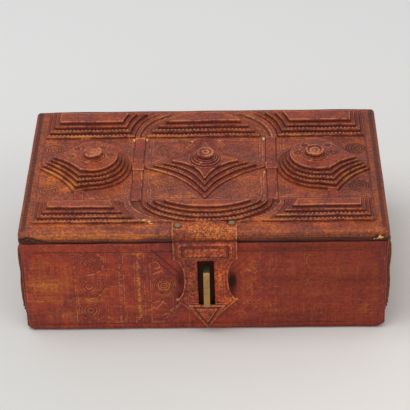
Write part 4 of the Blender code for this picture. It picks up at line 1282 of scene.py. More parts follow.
def graded(half, plain, fine, edge_steps):
    """Places from -half to half: the middle at a plain spacing, the border at a fine one."""
    middle = np.linspace(-(half - border), half - border, int(2 * (half - border) / plain))
    rim = np.arange(half - border + fine, half, fine)
    edge = half + np.array(edge_steps)
    outer = np.concatenate([rim, edge])
    return np.concatenate([-outer[::-1], middle, outer])


# %% The skin's grid
edge_steps = np.array([0.0, 0.5, 1.1, 1.8, 2.5, 3.2, 3.9, 4.6, 5.3, 6.3, 7.5, 8.8, 10.0, 10.9, 11.6,
                       12.3, 13.0, 13.8, 16.0, 19.0, 21.6]) * mm
flat_x, flat_y = half_lid_x - lid_corner, half_lid_y - lid_corner
u, v = np.meshgrid(graded(flat_x, 1.6 * mm, 0.8 * mm, edge_steps),
                   graded(flat_y, 1.5 * mm, 0.8 * mm, edge_steps))
core_x, core_y = np.clip(u, -flat_x, flat_x), np.clip(v, -flat_y, flat_y)
over_x, over_y = u - core_x, v - core_y
past = np.maximum(np.abs(over_x), np.abs(over_y))
reach = np.maximum(np.hypot(over_x, over_y), 1e-9)
out, down, inward = edge_way(past)
x = core_x * (1 - inward / flat_x) + over_x / reach * out
y = core_y * (1 - inward / flat_y) + over_y / reach * out
z = lid_high - down
top_depth = 1.5 * mm
on_top = down < top_depth
on_front_edge = (down > top_depth) & (y < 0) & (inward == 0)
print("points in the lid's skin:", x.size)

# %% Marks on the skin's top
marks = Tooling(x, y)
for side in (-1, 1):
    marks.line((side * 140.3, -90), (side * 140.3, 90), depth=0.28, rub=0.5)
    marks.line((side * 142.2, -90), (side * 142.2, 90), depth=0.14, rub=0.35, dirt=0.4)
marks.line((-140, -84.2), (-28, -84.2), depth=0.25, rub=0.7, dirt=0.5)
marks.line((29, -84.2), (140, -84.2), depth=0.25, rub=0.7, dirt=0.5)
marks.line((-144, -88.0), (-28, -88.0), depth=0.20, rub=0.8, dirt=0.35)
marks.line((29, -88.0), (144, -88.0), depth=0.20, rub=0.7, dirt=0.35)
marks.line((-140, 88.3), (140, 88.3), depth=0.22, rub=0.5, dirt=0.5)
for hole_x in (-136, 134):
    marks.press(np.hypot(marks.x - hole_x, marks.y + 91), 0.75, 0.7, 0.3, 1.0)
dash_row = np.abs(np.abs(x / mm) - 145.6) < 1.7
dash_pitch = 2.4
print("deepest mark on the lid's top, mm:", round(-marks.height.min() / mm, 2))

# %% Wrinkles, scratches and torn places on the skin's front edge
edge_marks = Tooling(x, z)
edge_marks.path([(-149, 93.0), (-143, 95.6), (-138, 94.8), (-133, 92.4), (-127, 90.6)],
                width=0.9, depth=0.55, rub=0.9, dirt=1.0)
edge_marks.path([(-147, 91.4), (-141, 92.6), (-136, 90.8)],
                width=0.8, depth=0.4, rub=0.4, dirt=1.0)
edge_marks.path([(136, 92.2), (140, 94.4), (146, 95.0)], width=0.8, depth=0.5, rub=1.0, dirt=0.8)
for level, strength in ((97.4, 0.5), (95.6, 0.35), (92.6, 0.4)):
    edge_marks.line((-120, level), (140, level), width=0.4, depth=0.10, rub=strength, dirt=0.4)
chance = np.random.default_rng(11)
for _ in range(90):
    start, level = chance.uniform(-138, 132), chance.uniform(93.6, 98.6)
    length = chance.uniform(2, 9)
    end = (start + length, level + chance.uniform(-0.3, 0.3))
    edge_marks.stroke((start, level), end, 0.45, 0.08, chance.uniform(0.3, 1.0))
torn_edge = spots(x, z, [(141.8, 94.6, 1.5, 1.3, 0.9), (143.6, 92.8, 2.0, 1.2, 0.8),
                         (140.6, 92.4, 2.6, 1.1, 0.8), (137.6, 91.4, 2.0, 0.7, 0.8),
                         (131.5, 90.6, 2.6, 0.5, 0.8)]) * on_front_edge
torn_edge = torn_edge * (0.72 + 0.28 * np.sin(x / mm * 2.3) * np.sin(z / mm * 3.1))
torn_top = spots(x, y, [(-42.5, -82.6, 2.2, 0.8, 1.0), (-134, -91, 1.2, 0.7, 0.8)]) * on_top
print("deepest wrinkle at the lid's front edge, mm:",
      round(-(edge_marks.height * on_front_edge).min() / mm, 2))

# %% The skin's swell, dirt, painted shade and highlight, and rubbed places
y = y - edge_marks.height * on_front_edge
swell = 0.16 * mm * (np.sin(x / mm / 15 + y / mm / 9) + np.sin(x / mm / 6 - y / mm / 11))
under_relief = (np.abs(x) < 138 * mm) & (np.abs(y) < 80 * mm)
lift = marks.height * on_top + np.where(under_relief, 0, swell)
points = np.stack([x, y, z + lift], axis=-1)
# Along the rounded top edge the rub and the warmth carry a painted highlight.
at_edge = np.exp(-((down / mm - 1.6) / 1.6) ** 2) * (past > 0)
# Painted shade on the lid's edge from 8 mm down, where it meets the case.
seam = np.clip((down / mm - 8.0) / 0.8, 0, 1)
margin = np.clip((np.abs(x) / mm - 142) / 3, 0, 1) * on_top
# On the front edge: dirt in spots, darker towards the lower edge, and painted shade growing to the
# right, where the light falls off.
edge_dirt_and_shade = (0.22 * np.clip(x / mm / 60, 0, 1) + 0.42 * np.clip((down / mm - 4.8) / 1.5, 0, 1)
             + spots(x, z, [(-144, 95, 9, 6, 0.35), (-36, 95, 9, 6, 0.30),
                            (120, 92, 20, 2, 0.25)]))
top_warm = spots(x, y, lid_glow) * (down < 4 * mm)
edge_warm = spots(x, z, [(-105, 96.4, 36, 2.8, 1.40), (-55, 96.2, 24, 2.6, 1.05),
                         (70, 97.0, 30, 2.2, 0.20)]) * on_front_edge
lid_paint = {
    "rub": np.maximum(np.maximum(marks.rub * on_top, 0.35 * at_edge),
                      edge_marks.rub * on_front_edge),
    "dirt": (np.maximum(marks.dirt * on_top, edge_marks.dirt * on_front_edge) + seam
             + 0.42 * margin + on_front_edge * edge_dirt_and_shade),
    "warm": np.maximum(top_warm, edge_warm) + 0.15 * at_edge,
    "stamp": (dash_row & on_top & (np.abs(y) < 91 * mm)) * 1.0,
    "along": y / mm / dash_pitch,
    "bare": torn_edge + torn_top,
}
print("the lid's skin swells by up to", round(swell.max() / mm, 2), "mm")

# %% The skin as a sheet, with its thickness
lid_skin = sheet("lid_skin", points, "lid", lid_paint, close=False)
thicken(lid_skin, 1.1 * mm)
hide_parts("lid_cover")
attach(lid_skin, "lid")

# %% [markdown]
# ## The flat fields
#
# Between the rows, the straps and the blocks lie flat fields, each tooled by itself: a double
# line inside its edges, a line that follows the star or the boss, and rings. They are inlaid
# sheets a quarter of a millimetre proud of the lid, with fine points for the marks.

# %% A field
field_spacing = 0.55
proud, buried, edge_width = 0.28 * mm, 0.2 * mm, 0.01
# Darker places round the stamped rings, and a broad painted shade over the right field, where the
# light falls off.
dark_places = [(-33, 27, 13, 13, 1), (-35, -29, 12, 12, 1), (37, 27, 13, 13, 1),
               (38, -30, 12, 12, 1), (130, -28, 14, 14, 1), (130, 28, 14, 14, 1),
               (118, 0, 44, 80, 2.3)]


def distance_to_plan(x, y, plan):
    """Distance in mm from each point to a plan's outline at the foot."""
    outline = np.vstack([np.stack(side(np.linspace(0, 1, 40)), axis=-1) for side in plan(0)]) / mm
    nearest = np.full(x.shape, 1e9)
    for corner_x, corner_y in outline:
        nearest = np.minimum(nearest, (x / mm - corner_x) ** 2 + (y / mm - corner_y) ** 2)
    return np.sqrt(nearest)


def field_places(low, high):
    """Places from low to high, with one more just outside each end."""
    return np.concatenate([[low - edge_width], np.arange(low, high, field_spacing),
                           [high, high + edge_width]])


def field(name, left, right, front, back, plan, tool, bare=()):
    """A field between four sides, in mm. Its outermost points lie buried in the lid."""
    x, y = np.meshgrid(field_places(left, right) * mm, field_places(front, back) * mm)
    marks = Tooling(x, y)
    near_block = distance_to_plan(x, y, plan)
    tool(marks, near_block)
    swell = 0.05 * mm * (np.sin(marks.x / 3.1 + marks.y / 5.3)
                         + np.sin(marks.x / 7.7 - marks.y / 2.9))
    z = lid_high + proud + np.clip(marks.height + swell, -0.34 * mm, 1 * mm)
    z[0], z[-1], z[:, 0], z[:, -1] = (lid_high - buried,) * 4
    points = by_hand(np.stack([x, y, z], axis=-1), up=0.0)
    # Dirt and painted shade at the foot of the blocks and along the field's edges.
    foot_dirt_and_shade = 0.75 * np.exp(-(near_block / 1.3) ** 2)
    edge = np.minimum(np.minimum(marks.x - left, right - marks.x),
                      np.minimum(marks.y - front, back - marks.y))
    edge_dirt_and_shade = 0.7 * np.exp(-(edge / 0.7) ** 2)
    paint = {
        "rub": marks.rub * 1.3,
        "warm": 0.75 * glow(points),
        "dirt": (np.maximum(np.maximum(marks.dirt, foot_dirt_and_shade), edge_dirt_and_shade)
                 + 0.13 * spots(x, y, dark_places)),
        "bare": spots(x, y, bare),
    }
    piece = sheet(name, points, "lid", paint)
    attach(piece, "lid")
    return piece


# %% The field round the star
def star_field(marks, near_star):
    free = near_star > 5.4
    for x in (-47.8, -45.6, 48.8, 46.6):
        marks.press(marks.x - x, 0.42, 0.22, 0.75, 0.5, free & (np.abs(marks.y) < 46.5))
    for y in (-46.6, -44.2, 44.2, 42.0):
        marks.press(marks.y - y, 0.42, 0.22, 0.75, 0.5,
                    free & (marks.x > -48) & (marks.x < 49))
    inside = (marks.x > -48) & (marks.x < 49) & (marks.y > -47) & (marks.y < 44.5)
    marks.press(near_star - 4.6, 0.45, 0.24, 0.8, 0.6, inside)
    marks.press(near_star - 7.0, 0.40, 0.12, 0.5, 0.35, inside)
    for centre, strength in (((-33, 27), 0.9), ((-35, -29), 1.0), ((37, 27), 0.6),
                             ((38, -30), 0.8)):
        marks.rings(centre, 9.5, (1.0, 0.80, 0.56, 0.30, 0.08), depth=0.24 * strength,
                    rub=0.6 * strength, dirt=0.62 * strength, width=0.48)


field("star_field", -51.6, 52.3, -50.8, 47.8, star_plan, star_field,
      [(-50.4, 45.6, 0.8, 2.2, 1.0), (50.6, 45.4, 1.0, 2.6, 1.1), (-11, 42, 1.2, 1.0, 0.9),
       (13, 43, 1.2, 0.8, 0.8), (50.5, -8, 0.8, 2.2, 0.8)])


# %% The fields round the bosses
def boss_field(side, inner, outer, ring_places):
    def tool(marks, near_boss):
        low, high = sorted((side * inner, side * outer))
        for x in (side * (inner + 3.4), side * (inner + 5.6)):
            marks.press(marks.x - x, 0.42, 0.22, 0.75, 0.5,
                        (near_boss > 5) & (np.abs(marks.y) < 46.5))
        for y in (-46.6, -44.4, 44.0, 41.8):
            marks.press(marks.y - y, 0.42, 0.20, 0.7, 0.5,
                        (near_boss > 5) & (marks.x > low + 3) & (marks.x < high - 3))
        marks.press(near_boss - 4.4, 0.45, 0.2, 0.6, 0.5, np.abs(marks.y) < 47)
        marks.press(marks.x - side * 138.4, 0.42, 0.2, 0.6, 0.5)
        for centre in ring_places:
            marks.rings(centre, 8.0, (1.0, 0.74, 0.44, 0.14), depth=0.26, rub=0.55, dirt=0.9,
                        width=0.48)

    return tool


field("left_field", -139.6, -60.6, -50.8, 47.8, boss_plan(**bosses["left"]),
      boss_field(-1, 60.6, 139.6, [(-129.5, 30), (-129.5, -33)]),
      [(-61.6, 45.4, 1.4, 0.9, 1.1), (-61.4, 43.2, 0.6, 1.6, 0.8)])
field("right_field", 61.3, 139.6, -50.8, 47.8, boss_plan(**bosses["right"]),
      boss_field(1, 61.3, 139.6, [(129.5, 28), (129.5, -31)]))


# %% [markdown]
# ## Channels
#
# Between a corner cartouche and the half oval runs a curved channel. Its leather lies in long
# ridges that follow the oval, beside a rough and dirty floor. A strip is laid along the curve, with
# the ridges as heights across it.

# %% The four channels
def channel_strip(name, side, row, near, far, oval_x, hollow_x, oval_half, **_):
    across = np.concatenate([[0.0], np.linspace(0.02, 0.98, 27), [1.0]])[:, None]
    along = np.linspace(0, 1, 90)[None, :]
    wide = oval_half + channel * across
    deep = far - near + channel * across
    last = np.arcsin(np.minimum((far - near + 1.2 * mm) / (deep + 1.2 * mm), 1.0))
    angle = last * along
    x = blend(oval_x, hollow_x, across) + side * wide * np.cos(angle)
    y = row * (near + deep * np.sin(angle))
    trough = 0.58 - 0.30 * along * (row < 0) - 0.08 * along
    band = np.clip((across - trough) / 0.06, 0, 1) * np.clip((1 - across) / 0.05, 0, 1)
    line = np.exp(-((across - trough - 0.20) / 0.035) ** 2)
    lip = np.exp(-((across - trough - 0.09) / 0.05) ** 2)
    ends = np.minimum(1, np.minimum(along, 1 - along) / 0.02)
    rough = 0.10 * np.sin(x / mm * 2.9) * np.sin(y / mm * 2.3)
    z = lid_high + (0.12 + (1.35 * band - 0.45 * line * band + rough * (1 - band)) * ends) * mm
    z[0], z[-1] = lid_high - 0.3 * mm, lid_high - 0.3 * mm
    points = by_hand(np.stack([x, y, z], axis=-1))
    flat = np.zeros_like(x)
    floor_dirt = (0.62 if row < 0 else 0.40) + 0.15 * np.sin(x / mm * 0.9 + y / mm)
    edge_dirt_and_shade = np.exp(-((across - trough + 0.03) / 0.08) ** 2) + np.exp(-(across / 0.10) ** 2)
    dirt = np.maximum(floor_dirt * (1 - band), 0.9 * edge_dirt_and_shade) + 0.5 * line * band
    paint = {"rub": flat + 1.2 * lip * band + 0.5 * np.exp(-((across - 0.9) / 0.05) ** 2),
             "dirt": flat + dirt,
             "warm": glow(points) + 0.25 * (1 - band),
             "bare": spots(x, y, [(-48.5, -79.5, 2.2, 1.0, 1.0), (-44, -81.5, 1.6, 0.8, 1.0)])}
    strip = sheet(name, points, "lid", paint)
    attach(strip, "lid")


for word, sizes in rows_of_cartouches.items():
    for place, side in (("left", -1), ("right", 1)):
        channel_strip(f"{word}_{place}_channel", side, **sizes)

# %% [markdown]
# ## The panels on the ends
#
# Each end of the case carries a low stepped panel, which the photograph shows only from its edge.
# It is made like the blocks, lying down, and then turned up against its wall. Its crests are
# beaded, and it is dirtier than the walls.

# %% An oblong plan with round corners
def rounded_plan(half_x, half_y, radius, inset):
    signs = ((1, 1), (-1, 1), (-1, -1), (1, -1))

    def plan(share):
        drawn = inset * share
        round_by = max(radius - drawn / 2, 1 * mm)
        a, b = half_x - drawn - round_by, half_y - drawn - round_by

        def corner(t, turn):
            sign_x, sign_y = signs[turn % 4]
            angle = pi / 2 * (turn + t)
            return sign_x * a + round_by * np.cos(angle), sign_y * b + round_by * np.sin(angle)

        sides = []
        for turn in range(4):
            sides += [lambda t, turn=turn: corner(t, turn),
                      straight(corner(1.0, turn), corner(0.0, turn + 1))]
        return sides

    return plan


# %% End panels
panel_margin, panel_radius, panel_inset = 9 * mm, 6 * mm, 4.6 * mm
panel_height, bead_height = 3.3 * mm, 0.45 * mm
panel_grime = 0.45
for word, side in (("left", -1), ("right", 1)):
    plan = rounded_plan(case_height / 2 - panel_margin, half_case_y - panel_margin, panel_radius,
                        panel_inset)
    top = [(1.6, 0.0), (2.6, 0.0), (4.0, 0.0), (6.0, 0.0)]
    points, paint = stepped_sheet(plan, 3, panel_height, 1 / 2, top, spacing=1.0 * mm)
    beads = np.abs(np.sin(paint["along"] * 1.25))
    points[..., 2] += (bead_height * beads * np.clip(points[..., 2] / panel_height, 0, 1)
                       * paint["rub"])
    across, deep, up = (points[..., axis] for axis in range(3))
    points = np.stack([side * (half_case_x + up), deep, case_height / 2 + across], axis=-1)
    paint = {"rub": paint["rub"] * 0.9, "dirt": paint["dirt"] + panel_grime,
             "along": paint["along"], "stamp": np.broadcast_to(paint["stamp"], across.shape),
             "warm": 0.1 + 0 * across}
    panel = sheet(f"{word}_end_relief", points, "case", paint)
    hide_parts(f"{word}_end_panel")
    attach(panel, "case")

# %% [markdown]
# ## The hasp
#
# The hasp is one piece of leather: a leaf nailed to the lid, a fold over its front edge, and a
# flap with a slot. A grid is cut to its outline as with a knife: faces outside it are deleted, and
# the points at the cut are drawn onto the outline. Distances to the outline and to the raised
# frames then say how high each point stands. The height on the flap goes on as a length past the
# fold: up the lid's edge, round the bend, and back along the top.

# %% The outline, in mm: x across, and the height on the unrolled hasp
flap_low, ear_height, waist_height, shoulder_height, leaf_end = 5.0, 34.5, 56.0, 74.5, 115.4
half_hasp, half_waist, half_ear = 26.0, 17.6, 25.8
hasp_x, lean_from, lean_at_tip = 0.8, 93.1, 1.4


def lean(height):
    """Where the hasp's middle line lies: the flap leans a little to the right."""
    return hasp_x + lean_at_tip * np.clip((lean_from - height) / (lean_from - flap_low), 0, 1)


def hasp_outline():
    right = [(16.8, leaf_end), (18.2, leaf_end - 3.2), (20.8, leaf_end - 4.8),
             (23.2, leaf_end - 3.4), (26.6, leaf_end - 4.2), (half_hasp, 109),
             (half_hasp + 0.4, 100), (half_hasp - 0.1, 93), (half_hasp, 86),
             (half_hasp - 0.2, shoulder_height)]
    for t in np.linspace(0, pi / 2, 12)[1:]:
        right.append((half_waist + (half_hasp - half_waist) * (1 - sin(t)),
                      blend(shoulder_height, waist_height, 1 - cos(t))))
    for t in np.linspace(0, pi / 2, 12)[1:]:
        right.append((half_waist + (half_ear - half_waist) * (1 - cos(t)),
                      blend(waist_height, ear_height, sin(t))))
    for t in np.linspace(0, 1, 12)[1:]:
        sag = 2.2 * 4 * t * (1 - t)
        right.append((half_ear * (1 - t) - 0.75 * sag,
                      blend(ear_height, flap_low, t) + 0.66 * sag * 0.4))
    left = [(-x, height) for x, height in reversed(right[5:-1])]
    left[-1] = (-half_hasp - 0.3, leaf_end - 8)
    left += [(-half_hasp - 0.2, leaf_end - 0.5), (-half_hasp + 0.8, leaf_end)]
    return np.array([(lean(height) + x, height) for x, height in right + left])


outline = hasp_outline()
slot_corners = ((-6.8, 29.2), (-6.9, 50), (-6.8, 73.3), (6.8, 73.5), (6.7, 50), (6.8, 29.0))
slot = np.array([(lean(height) + x, height) for x, height in slot_corners])
print("corners of the hasp's outline:", len(outline))


# %% Distances to a closed outline
def outline_distance(x, y, corners):
    """Distance to the outline, positive inside it, and the nearest point on it."""
    nearest = np.full(x.shape, 1e9)
    foot_x, foot_y = np.zeros_like(x), np.zeros_like(y)
    inside = np.zeros(x.shape, bool)
    for start, end in zip(corners, np.roll(corners, -1, axis=0)):
        edge = end - start
        share = ((x - start[0]) * edge[0] + (y - start[1]) * edge[1]) / max(edge @ edge, 1e-12)
        share = np.clip(share, 0, 1)
        near_x, near_y = start[0] + share * edge[0], start[1] + share * edge[1]
        apart = np.hypot(x - near_x, y - near_y)
        closer = apart < nearest
        nearest = np.where(closer, apart, nearest)
        foot_x, foot_y = np.where(closer, near_x, foot_x), np.where(closer, near_y, foot_y)
        crosses = (start[1] > y) != (end[1] > y)
        rise = edge[1] if abs(edge[1]) > 1e-12 else 1e-12
        inside ^= crosses & (x < start[0] + (y - start[1]) * edge[0] / rise)
    return np.where(inside, nearest, -nearest), foot_x, foot_y


def cut_to_outline(x, h):
    """How far in from the cut each point lies, and the distance and nearest point of each edge."""
    outer, outer_x, outer_h = outline_distance(x, h, outline)
    inner, inner_x, inner_h = outline_distance(x, h, slot)
    return np.minimum(outer, -inner), outer, inner, (outer_x, outer_h), (inner_x, inner_h)


# %% How high the leather stands
def soft_step(value, width):
    t = np.clip(value / width, 0, 1)
    return t * t * (3 - 2 * t)


def hasp_marks(x, h, outer, inner):
    marks = Tooling(x * mm, h * mm)
    cut_edge = np.minimum(outer, -inner)
    marks.height -= 0.55 * mm * (1 - soft_step(cut_edge, 0.9)) ** 2
    marks.rub = np.maximum(marks.rub, 1.9 * np.exp(-(outer / 0.75) ** 2))
    marks.rub = np.maximum(marks.rub, 0.9 * np.exp(-(inner / 0.5) ** 2) * (h < 40))
    marks.press(outer - 1.9, 0.40, 0.20, 0.2, 0.75, h < 96)

    def raised(corners, height, width=0.7, rub=1.2, dirt=0.55):
        inside = outline_distance(x, h, np.array(corners, float))[0]
        marks.height += height * mm * soft_step(inside + width / 2, width)
        marks.rub = np.maximum(marks.rub, rub * np.exp(-((inside - 0.40) / 0.48) ** 2))
        marks.dirt = np.maximum(marks.dirt, dirt * np.exp(-((inside + 0.65) / 0.55) ** 2))

    def sunk(corners, depth, width=0.7, dirt=0.8):
        inside = outline_distance(x, h, np.array(corners, float))[0]
        marks.height -= depth * mm * soft_step(inside + width / 2, width)
        marks.dirt = np.maximum(marks.dirt, dirt * np.exp(-((inside - 0.4) / 0.7) ** 2))

    raised([(-20.6, 75.6), (22.6, 75.4), (23.0, 88.6), (21.4, 90.2), (-19.4, 90.3), (-20.9, 88.6)],
           0.9, rub=0.85, dirt=0.3)
    for place in (-20.2, 22.2):
        marks.stroke((place, 77.5), (place, 88.0), 0.45, 0.1, 1.5)
    sunk([(-18.0, 77.6), (20.2, 77.4), (20.4, 88.4), (-18.0, 88.5)], 0.8)
    raised([(-15.6, 76.8), (18.0, 76.6), (17.8, 85.6), (-15.4, 85.8)], 1.0, rub=0.9)
    raised([(-13.8, 28.8), (1.3, 6.2), (2.9, 6.2), (16.8, 28.6)], 0.7, rub=1.5, dirt=0.5)
    sunk([(-9.8, 27.6), (1.9, 9.8), (2.3, 9.8), (12.8, 27.4)], 0.6, dirt=0.9)
    raised([(-7.4, 25.2), (1.9, 11.8), (2.3, 11.8), (10.4, 25.0)], 0.8, rub=1.6)
    marks.line((-10.5, 31.6), (12.6, 31.4), width=0.45, depth=0.25, rub=1.2, dirt=1.0)
    marks.line((-11.5, 29.4), (14.0, 29.2), width=0.40, depth=0.20, rub=1.5, dirt=0.9)
    for start in np.arange(-11.5, 15.5, 3.4):
        marks.stroke((start, 78.0), (start + 2.0, 80.8), 0.40, 0.2, 1.5)
    chance = np.random.default_rng(3)
    for low in np.arange(95.4, 114, 2.0):
        for place in np.arange(-24, 26, 1.7):
            a, b = chance.uniform(-0.5, 0.5, 2)
            marks.dots((place + a, low + b), (place + a + 0.9, low + b), 2, 0.60, 0.26,
                       chance.uniform(0.5, 1.3))
    for side in (-9.0, -11.2, -13.4, 10.8, 13.0, 15.0):
        for height in np.arange(33, 71, 1.8):
            a, b = chance.uniform(-0.7, 0.7, 2)
            marks.dots((side + a, height + b), (side + a + 1, height + b), 2, 0.55, 0.22,
                       chance.uniform(0.1, 1.0))
    # A painted shadow across the fold, where the leather goes in under the lid's edge.
    marks.dirt = np.maximum(marks.dirt, 0.80 * np.exp(-((h - 92.8) / 1.9) ** 2))
    marks.rub = np.maximum(marks.rub, 0.50 * (h > 95) * np.exp(-((h - 103) / 9) ** 4))
    return marks


# %% From the unrolled hasp to its place on the box
bend_from, bend_radius = 97.6, 4.4


def hasp_place(x, h, lift):
    """Lay unrolled points on the box. lift is how far a point stands out from the face."""
    face = 99.5 - soft_step(h - 88, 5.4)
    bent = np.clip(h - bend_from, 0, bend_radius * pi / 2) / bend_radius
    past = np.clip(h - bend_from - bend_radius * pi / 2, 0, None)
    y = -face + bend_radius * (1 - np.cos(bent)) + past
    z = np.minimum(h, bend_from) + bend_radius * np.sin(bent)
    y = y - lift * np.cos(bent)
    z = z + lift * np.sin(bent)
    return np.stack([x, y, z], axis=-1) * mm


# %% The hasp's grid and its marks
spacing = 0.42
h_values = np.concatenate([np.arange(4.6, 90, spacing), np.arange(90, 98, 0.3),
                           np.arange(98, 116, spacing)])
x, h = np.meshgrid(np.arange(-27.2, 30.4, spacing), h_values)
keep, outer, inner, outer_foot, inner_foot = cut_to_outline(x, h)
marks = hasp_marks(x, h, outer, inner)
nails = ((-20.7, 109.0), (22.6, 112.0))
for nail_x, nail_h in nails:
    marks.press(np.hypot(x - nail_x, h - nail_h) - 2.75, 0.8, 0.25, 0.2, 0.9)
print("points in the hasp's grid:", x.size)

# %% Draw the points at the cut onto it, and lay the sheet on the box
hasp_warm = [(2, 106, 26, 9, 0.62), (2, 97, 30, 3, 0.35), (25, 34.5, 5, 4, 1.2),
             (0, 82, 24, 4, 0.25), (-11, 52, 3, 18, 0.45), (13, 56, 3, 16, 0.40),
             (1, 20, 9, 4, 0.10)]
snap = 0.75 * spacing
near_cut = np.abs(keep) < snap
to_slot = np.abs(inner) < np.abs(outer)
snapped_x = np.where(near_cut, np.where(to_slot, inner_foot[0], outer_foot[0]), x)
snapped_h = np.where(near_cut, np.where(to_slot, inner_foot[1], outer_foot[1]), h)
hasp_paint = {"rub": marks.rub, "dirt": marks.dirt, "warm": spots(x * mm, h * mm, hasp_warm),
              "keep": keep}
hasp = sheet("hasp_leather", hasp_place(snapped_x, snapped_h, marks.height / mm), "hasp",
             hasp_paint, close=False, smooth=False)

# %% Cut away what lies outside, and give the leather its thickness
kept_values = np.empty(len(hasp.data.vertices), np.float32)
hasp.data.attributes["keep"].data.foreach_get("value", kept_values)
select_only(hasp)
bpy.ops.object.mode_set(mode="EDIT")
bpy.ops.mesh.select_mode(type="VERT")
bpy.ops.mesh.select_all(action="DESELECT")
bpy.ops.object.mode_set(mode="OBJECT")
hasp.data.vertices.foreach_set("select", kept_values < -snap)
bpy.ops.object.mode_set(mode="EDIT")
bpy.ops.mesh.delete(type="VERT")
bpy.ops.mesh.select_all(action="SELECT")
bpy.ops.mesh.remove_doubles(threshold=0.00006)
bpy.ops.mesh.dissolve_degenerate(threshold=0.00001)
bpy.ops.mesh.delete_loose()
bpy.ops.object.mode_set(mode="OBJECT")
hasp.data.attributes.remove(hasp.data.attributes["keep"])
thicken(hasp, 2.3 * mm)
bpy.ops.object.shade_smooth_by_angle(angle=radians(45))
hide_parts("hasp_leaf", "hasp_flap", "hasp_frame", "hasp_panel", "hasp_tip_frame",
            "hasp_tip_panel")
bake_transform(hasp)
print("hasp faces:", len(hasp.data.polygons))

# %% [markdown]
# Two brass nails hold the leaf. A nail is turned as well: a thin shank through the leather and a
# low domed head on it, hammered a little uneven.

# %% Nail heads
nail_section = [(0.7, 0.0), (0.7, 6.9), (2.55, 6.9), (2.65, 7.25), (2.4, 7.7), (1.8, 8.05),
                (1.0, 8.25), (0.4, 8.3), (0.0, 8.25)]
nail_profile = [(radius, up, 0, 0) for radius, up in nail_section]
for word in ("left", "right"):
    low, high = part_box(f"{word}_hasp_nail")
    centre = (low + high) / 2
    points, paint = turned_sheet(nail_profile, centre, low.z, 32)
    angle = np.arctan2(points[..., 1] - centre.y, points[..., 0] - centre.x)
    points[..., 0] += 0.08 * mm * np.sin(3 * angle)
    points[..., 1] += 0.08 * mm * np.sin(2 * angle + 1)
    nail = sheet(f"{word}_nail_head", points, "green_brass")
    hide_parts(f"{word}_hasp_nail")
    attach(nail, "lid")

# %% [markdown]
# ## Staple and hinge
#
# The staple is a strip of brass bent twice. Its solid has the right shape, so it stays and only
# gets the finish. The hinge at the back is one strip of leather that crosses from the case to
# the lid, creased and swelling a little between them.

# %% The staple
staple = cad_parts["staple"]
staple.data.materials.clear()
staple.data.materials.append(finishes["brass"])
print("faces of the staple, kept as it is:", len(staple.data.polygons))

# %% The hinge
lower_low, lower_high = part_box("hinge_lower_leaf")
upper_low, upper_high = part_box("hinge_upper_leaf")
outer_face, inner_face = lower_high.y, upper_low.y
fold_level, sewn_level, edge_round = 0.0895, 0.0672, 0.5 * mm
levels = np.concatenate([np.linspace(lower_low.z, lower_high.z, 18),
                         np.linspace(lower_high.z, upper_low.z, 8)[1:-1],
                         np.linspace(upper_low.z, upper_high.z, 8)])
rounding = edge_round * np.exp(-((levels - levels[0]) / edge_round) ** 2)
rounding += edge_round * np.exp(-((levels - levels[-1]) / edge_round) ** 2)
bulge = 0.25 * mm * np.exp(-((levels - fold_level) / (1.6 * mm)) ** 2)
face = outer_face + bulge - rounding
back = np.where(levels < lower_high.z, lower_low.y, inner_face) + rounding
ring_y = np.concatenate([face, back[::-1], face[:1]])
ring_z = np.concatenate([levels, levels[::-1], levels[:1]])
across = np.linspace(lower_low.x, lower_high.x, 180)
y, x = np.meshgrid(ring_y, across)
z = np.broadcast_to(ring_z, y.shape)
ripple = 0.18 * mm * np.sin(x / mm / 9 + z / mm / 3) * (y > inner_face + 0.5 * mm)
points = np.stack([x, y + ripple - 0.1 * mm, z], axis=-1)
sewn = np.exp(-((z - sewn_level) / (0.4 * mm)) ** 2)
creased = np.exp(-((z - fold_level) / (1.2 * mm)) ** 2)
hinge = sheet("hinge_strip", points, "plain",
              {"rub": 0.6 * creased, "dirt": 0.5 * sewn, "warm": 0.2 + 0 * x})
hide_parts("hinge_lower_leaf", "hinge_upper_leaf")
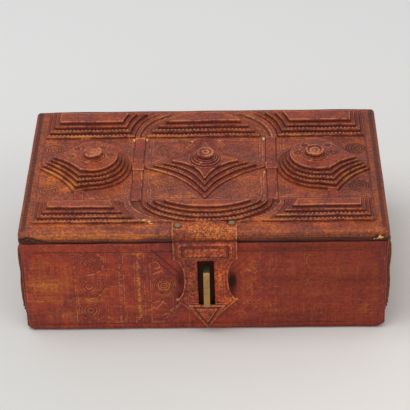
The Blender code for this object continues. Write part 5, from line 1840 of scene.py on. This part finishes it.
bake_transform(hinge)

# %% [markdown]
# ## Floor and light
#
# The box stands on pale paper under a soft light from the upper left. The floor's colour is
# painted light: a little darker towards the front, and lighter at the front right, where it lifts
# the box's shadow.

# %% Floor
bpy.ops.object.select_all(action="DESELECT")
floor_width = 8
bpy.ops.mesh.primitive_plane_add(size=floor_width)
floor = bpy.context.object
floor.name = "floor"
recipe = Recipe("paper")
apart = recipe.node("ShaderNodeSeparateXYZ", {0: recipe.place})
# The paper's colours are painted light: darker towards the front, lighter towards the back, and
# lighter still at the front right, where they lift the box's shadow.
back_share = recipe.step(apart.outputs["Y"], -0.25, 0.45)
shadow_fill_share = recipe.step(apart.outputs["X"], -0.20, 0.24)
paper = recipe.mix(back_share, (0.600, 0.604, 0.588), (0.672, 0.674, 0.676))
paper = recipe.mix(recipe.times(shadow_fill_share, recipe.math("SUBTRACT", 1.0, back_share)),
                   paper, (0.700, 0.675, 0.645))
recipe.set(base_color=paper, roughness=0.9)
floor.data.materials.append(recipe.material)
floor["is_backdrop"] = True
print("floor:", floor_width, "m wide")

# %% Light
daylight = 0.66
world = bpy.data.worlds.new("daylight")
bpy.context.scene.world = world
world.use_nodes = True
sky = world.node_tree.nodes["Background"]
sky.inputs["Color"].default_value = (1.0, 0.99, 0.98, 1)
sky.inputs["Strength"].default_value = daylight


def lamp(name, place, aim, size, power):
    data = bpy.data.lights.new(name, "AREA")
    data.shape, data.size, data.energy = "DISK", size, power
    made = bpy.data.objects.new(name, data)
    bpy.context.scene.collection.objects.link(made)
    made.location = place
    made.rotation_euler = (Vector(aim) - Vector(place)).to_track_quat("-Z", "Y").to_euler()
    return made


lamp("window", (-0.70, -0.30, 1.9), (0, 0, 0.05), 1.6, 20)
lamp("second_window", (1.0, -1.1, 1.4), (0, 0, 0.05), 1.2, 6)
bpy.context.scene.view_settings.view_transform = "Standard"
print("daylight:", daylight, "and two lamps")

# %% Done
low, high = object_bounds()
print("size when dressed, mm:", [round(side * 1000, 1) for side in high - low])
